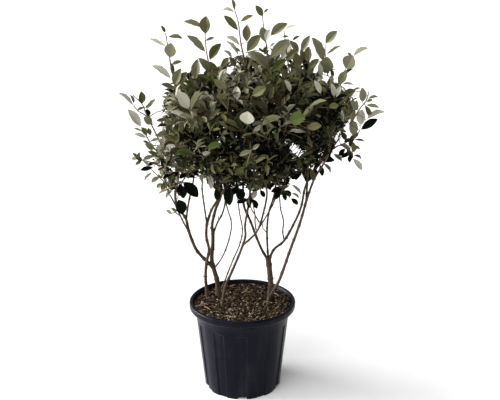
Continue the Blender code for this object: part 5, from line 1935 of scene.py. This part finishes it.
    def join(self, start: Vector, end: Vector, radius: float) -> None:
        """Add a twig of one radius from one place to another, bent a little upwards."""
        middle = start.lerp(end, 0.5) + UP * (self.join_rise * (end - start).length)
        line = smooth_points([start, middle, end], self.twig_step)
        self.twigs.append(Path(line, lambda at, length: radius))

    def room(self, middle: Vector) -> bool:
        """Take a place for a leaf where no other leaf's middle is too near.

        Args:
            middle: The leaf's middle.

        Returns:
            True where the place was free.
        """
        cell = tuple(math.floor(value / self.apart) for value in middle)
        near = [(x, y, z) for x in (-1, 0, 1) for y in (-1, 0, 1) for z in (-1, 0, 1)]
        for x, y, z in near:
            for other in self.taken.get((cell[0] + x, cell[1] + y, cell[2] + z), ()):
                if (other - middle).length < self.apart:
                    return False
        self.taken.setdefault(cell, []).append(middle)
        return True

    def build(self) -> None:
        """Grow everything, and hand over the twigs and each tone's leaves in place of the masses."""
        points = self.crown.points()
        feet = [self.lead(leader) for leader in LEADERS]
        led = len(self.twigs)
        for mass in MASSES:
            self.grow(mass, points)
        held = [*self.wood.grown.values(), *self.twigs[led:]]
        places = [point for path in held for point in path.points]
        for foot in feet:
            self.join(min(places, key=lambda point: (point - foot).length), foot, self.lead_radius)
        LOG.info("%d twigs", len(self.twigs))
        masses = [mass.name for mass in MASSES]
        tubes("twigs", self.twigs, self.twig_sides).dress(TWIG_BARK.material(), "bark", masses)
        finishes = {tone: tone.value.material() for tone in (*LeafTone, *BackTone)}
        for tones, leaves in self.dealt.items():
            if any(leaves.places):
                made = leaves.build([finishes[tone] for tone in tones], self.leaf_sharp)
                hand_over(made, masses)


@dataclass
class Studio:
    """The pale floor, the soft light from the upper left, and the camera."""

    floor_size: float = 60.0
    floor_colour: Colour = (0.85, 0.85, 0.85)
    floor_roughness: float = 0.9
    sky: float = 0.42
    key_turn: Point = (math.radians(30.0), math.radians(-6.0), math.radians(-30.0))
    key_softness: float = math.radians(60.0)
    key_strength: float = 2.6
    side_way: Point = (1.0, -0.2, -0.2)
    side_softness: float = math.radians(40.0)
    side_strength: float = 8.0
    far: float = 200.0  # how far the camera sees

    def build(self) -> None:
        """Set up floor, light and camera."""
        bpy.ops.mesh.primitive_plane_add(size=self.floor_size)
        floor = Workpiece("floor")
        finish = PlainFinish("floor", self.floor_colour, self.floor_roughness)
        floor.object.data.materials.append(finish.material())
        world = bpy.data.worlds.new("studio")
        world.use_nodes = True
        background = world.node_tree.nodes["Background"]
        background.inputs["Color"].default_value = (1.0, 1.0, 1.0, 1.0)
        background.inputs["Strength"].default_value = self.sky
        scene = bpy.context.scene
        scene.world = world
        self.sun("key_light", self.key_turn, self.key_strength, self.key_softness)
        turn = Vector(self.side_way).to_track_quat("-Z", "Y").to_euler()
        self.sun("side_light", turn, self.side_strength, self.side_softness)
        bpy.ops.object.camera_add(location=VIEW.place, rotation=(VIEW.pitch, 0.0, 0.0))
        camera = bpy.context.active_object
        camera.name = "camera"
        camera.data.lens = VIEW.lens
        camera.data.sensor_width = VIEW.sensor
        camera.data.clip_end = self.far
        bpy.context.scene.camera = camera
        scene.view_settings.view_transform = "Standard"

    @staticmethod
    def sun(name: str, turn: Sequence[float], strength: float, softness: float) -> None:
        """Add a far light.

        Args:
            name: Its name.
            turn: Its turn about the three axes.
            strength: Its strength.
            softness: The angle that its disc fills.
        """
        bpy.ops.object.light_add(type="SUN", rotation=turn)
        light = bpy.context.active_object
        light.name = name
        light.data.energy = strength
        light.data.angle = softness


def main() -> None:
    """Build the looks in order."""
    logging.basicConfig(level=logging.INFO, format="%(message)s")
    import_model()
    deselect_all()
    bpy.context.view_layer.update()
    NurseryPot().build()
    PottingMix().build()
    wood = Wood()
    wood.build()
    Foliage(wood).build()
    Studio().build()


if __name__ == "__main__":
    main()
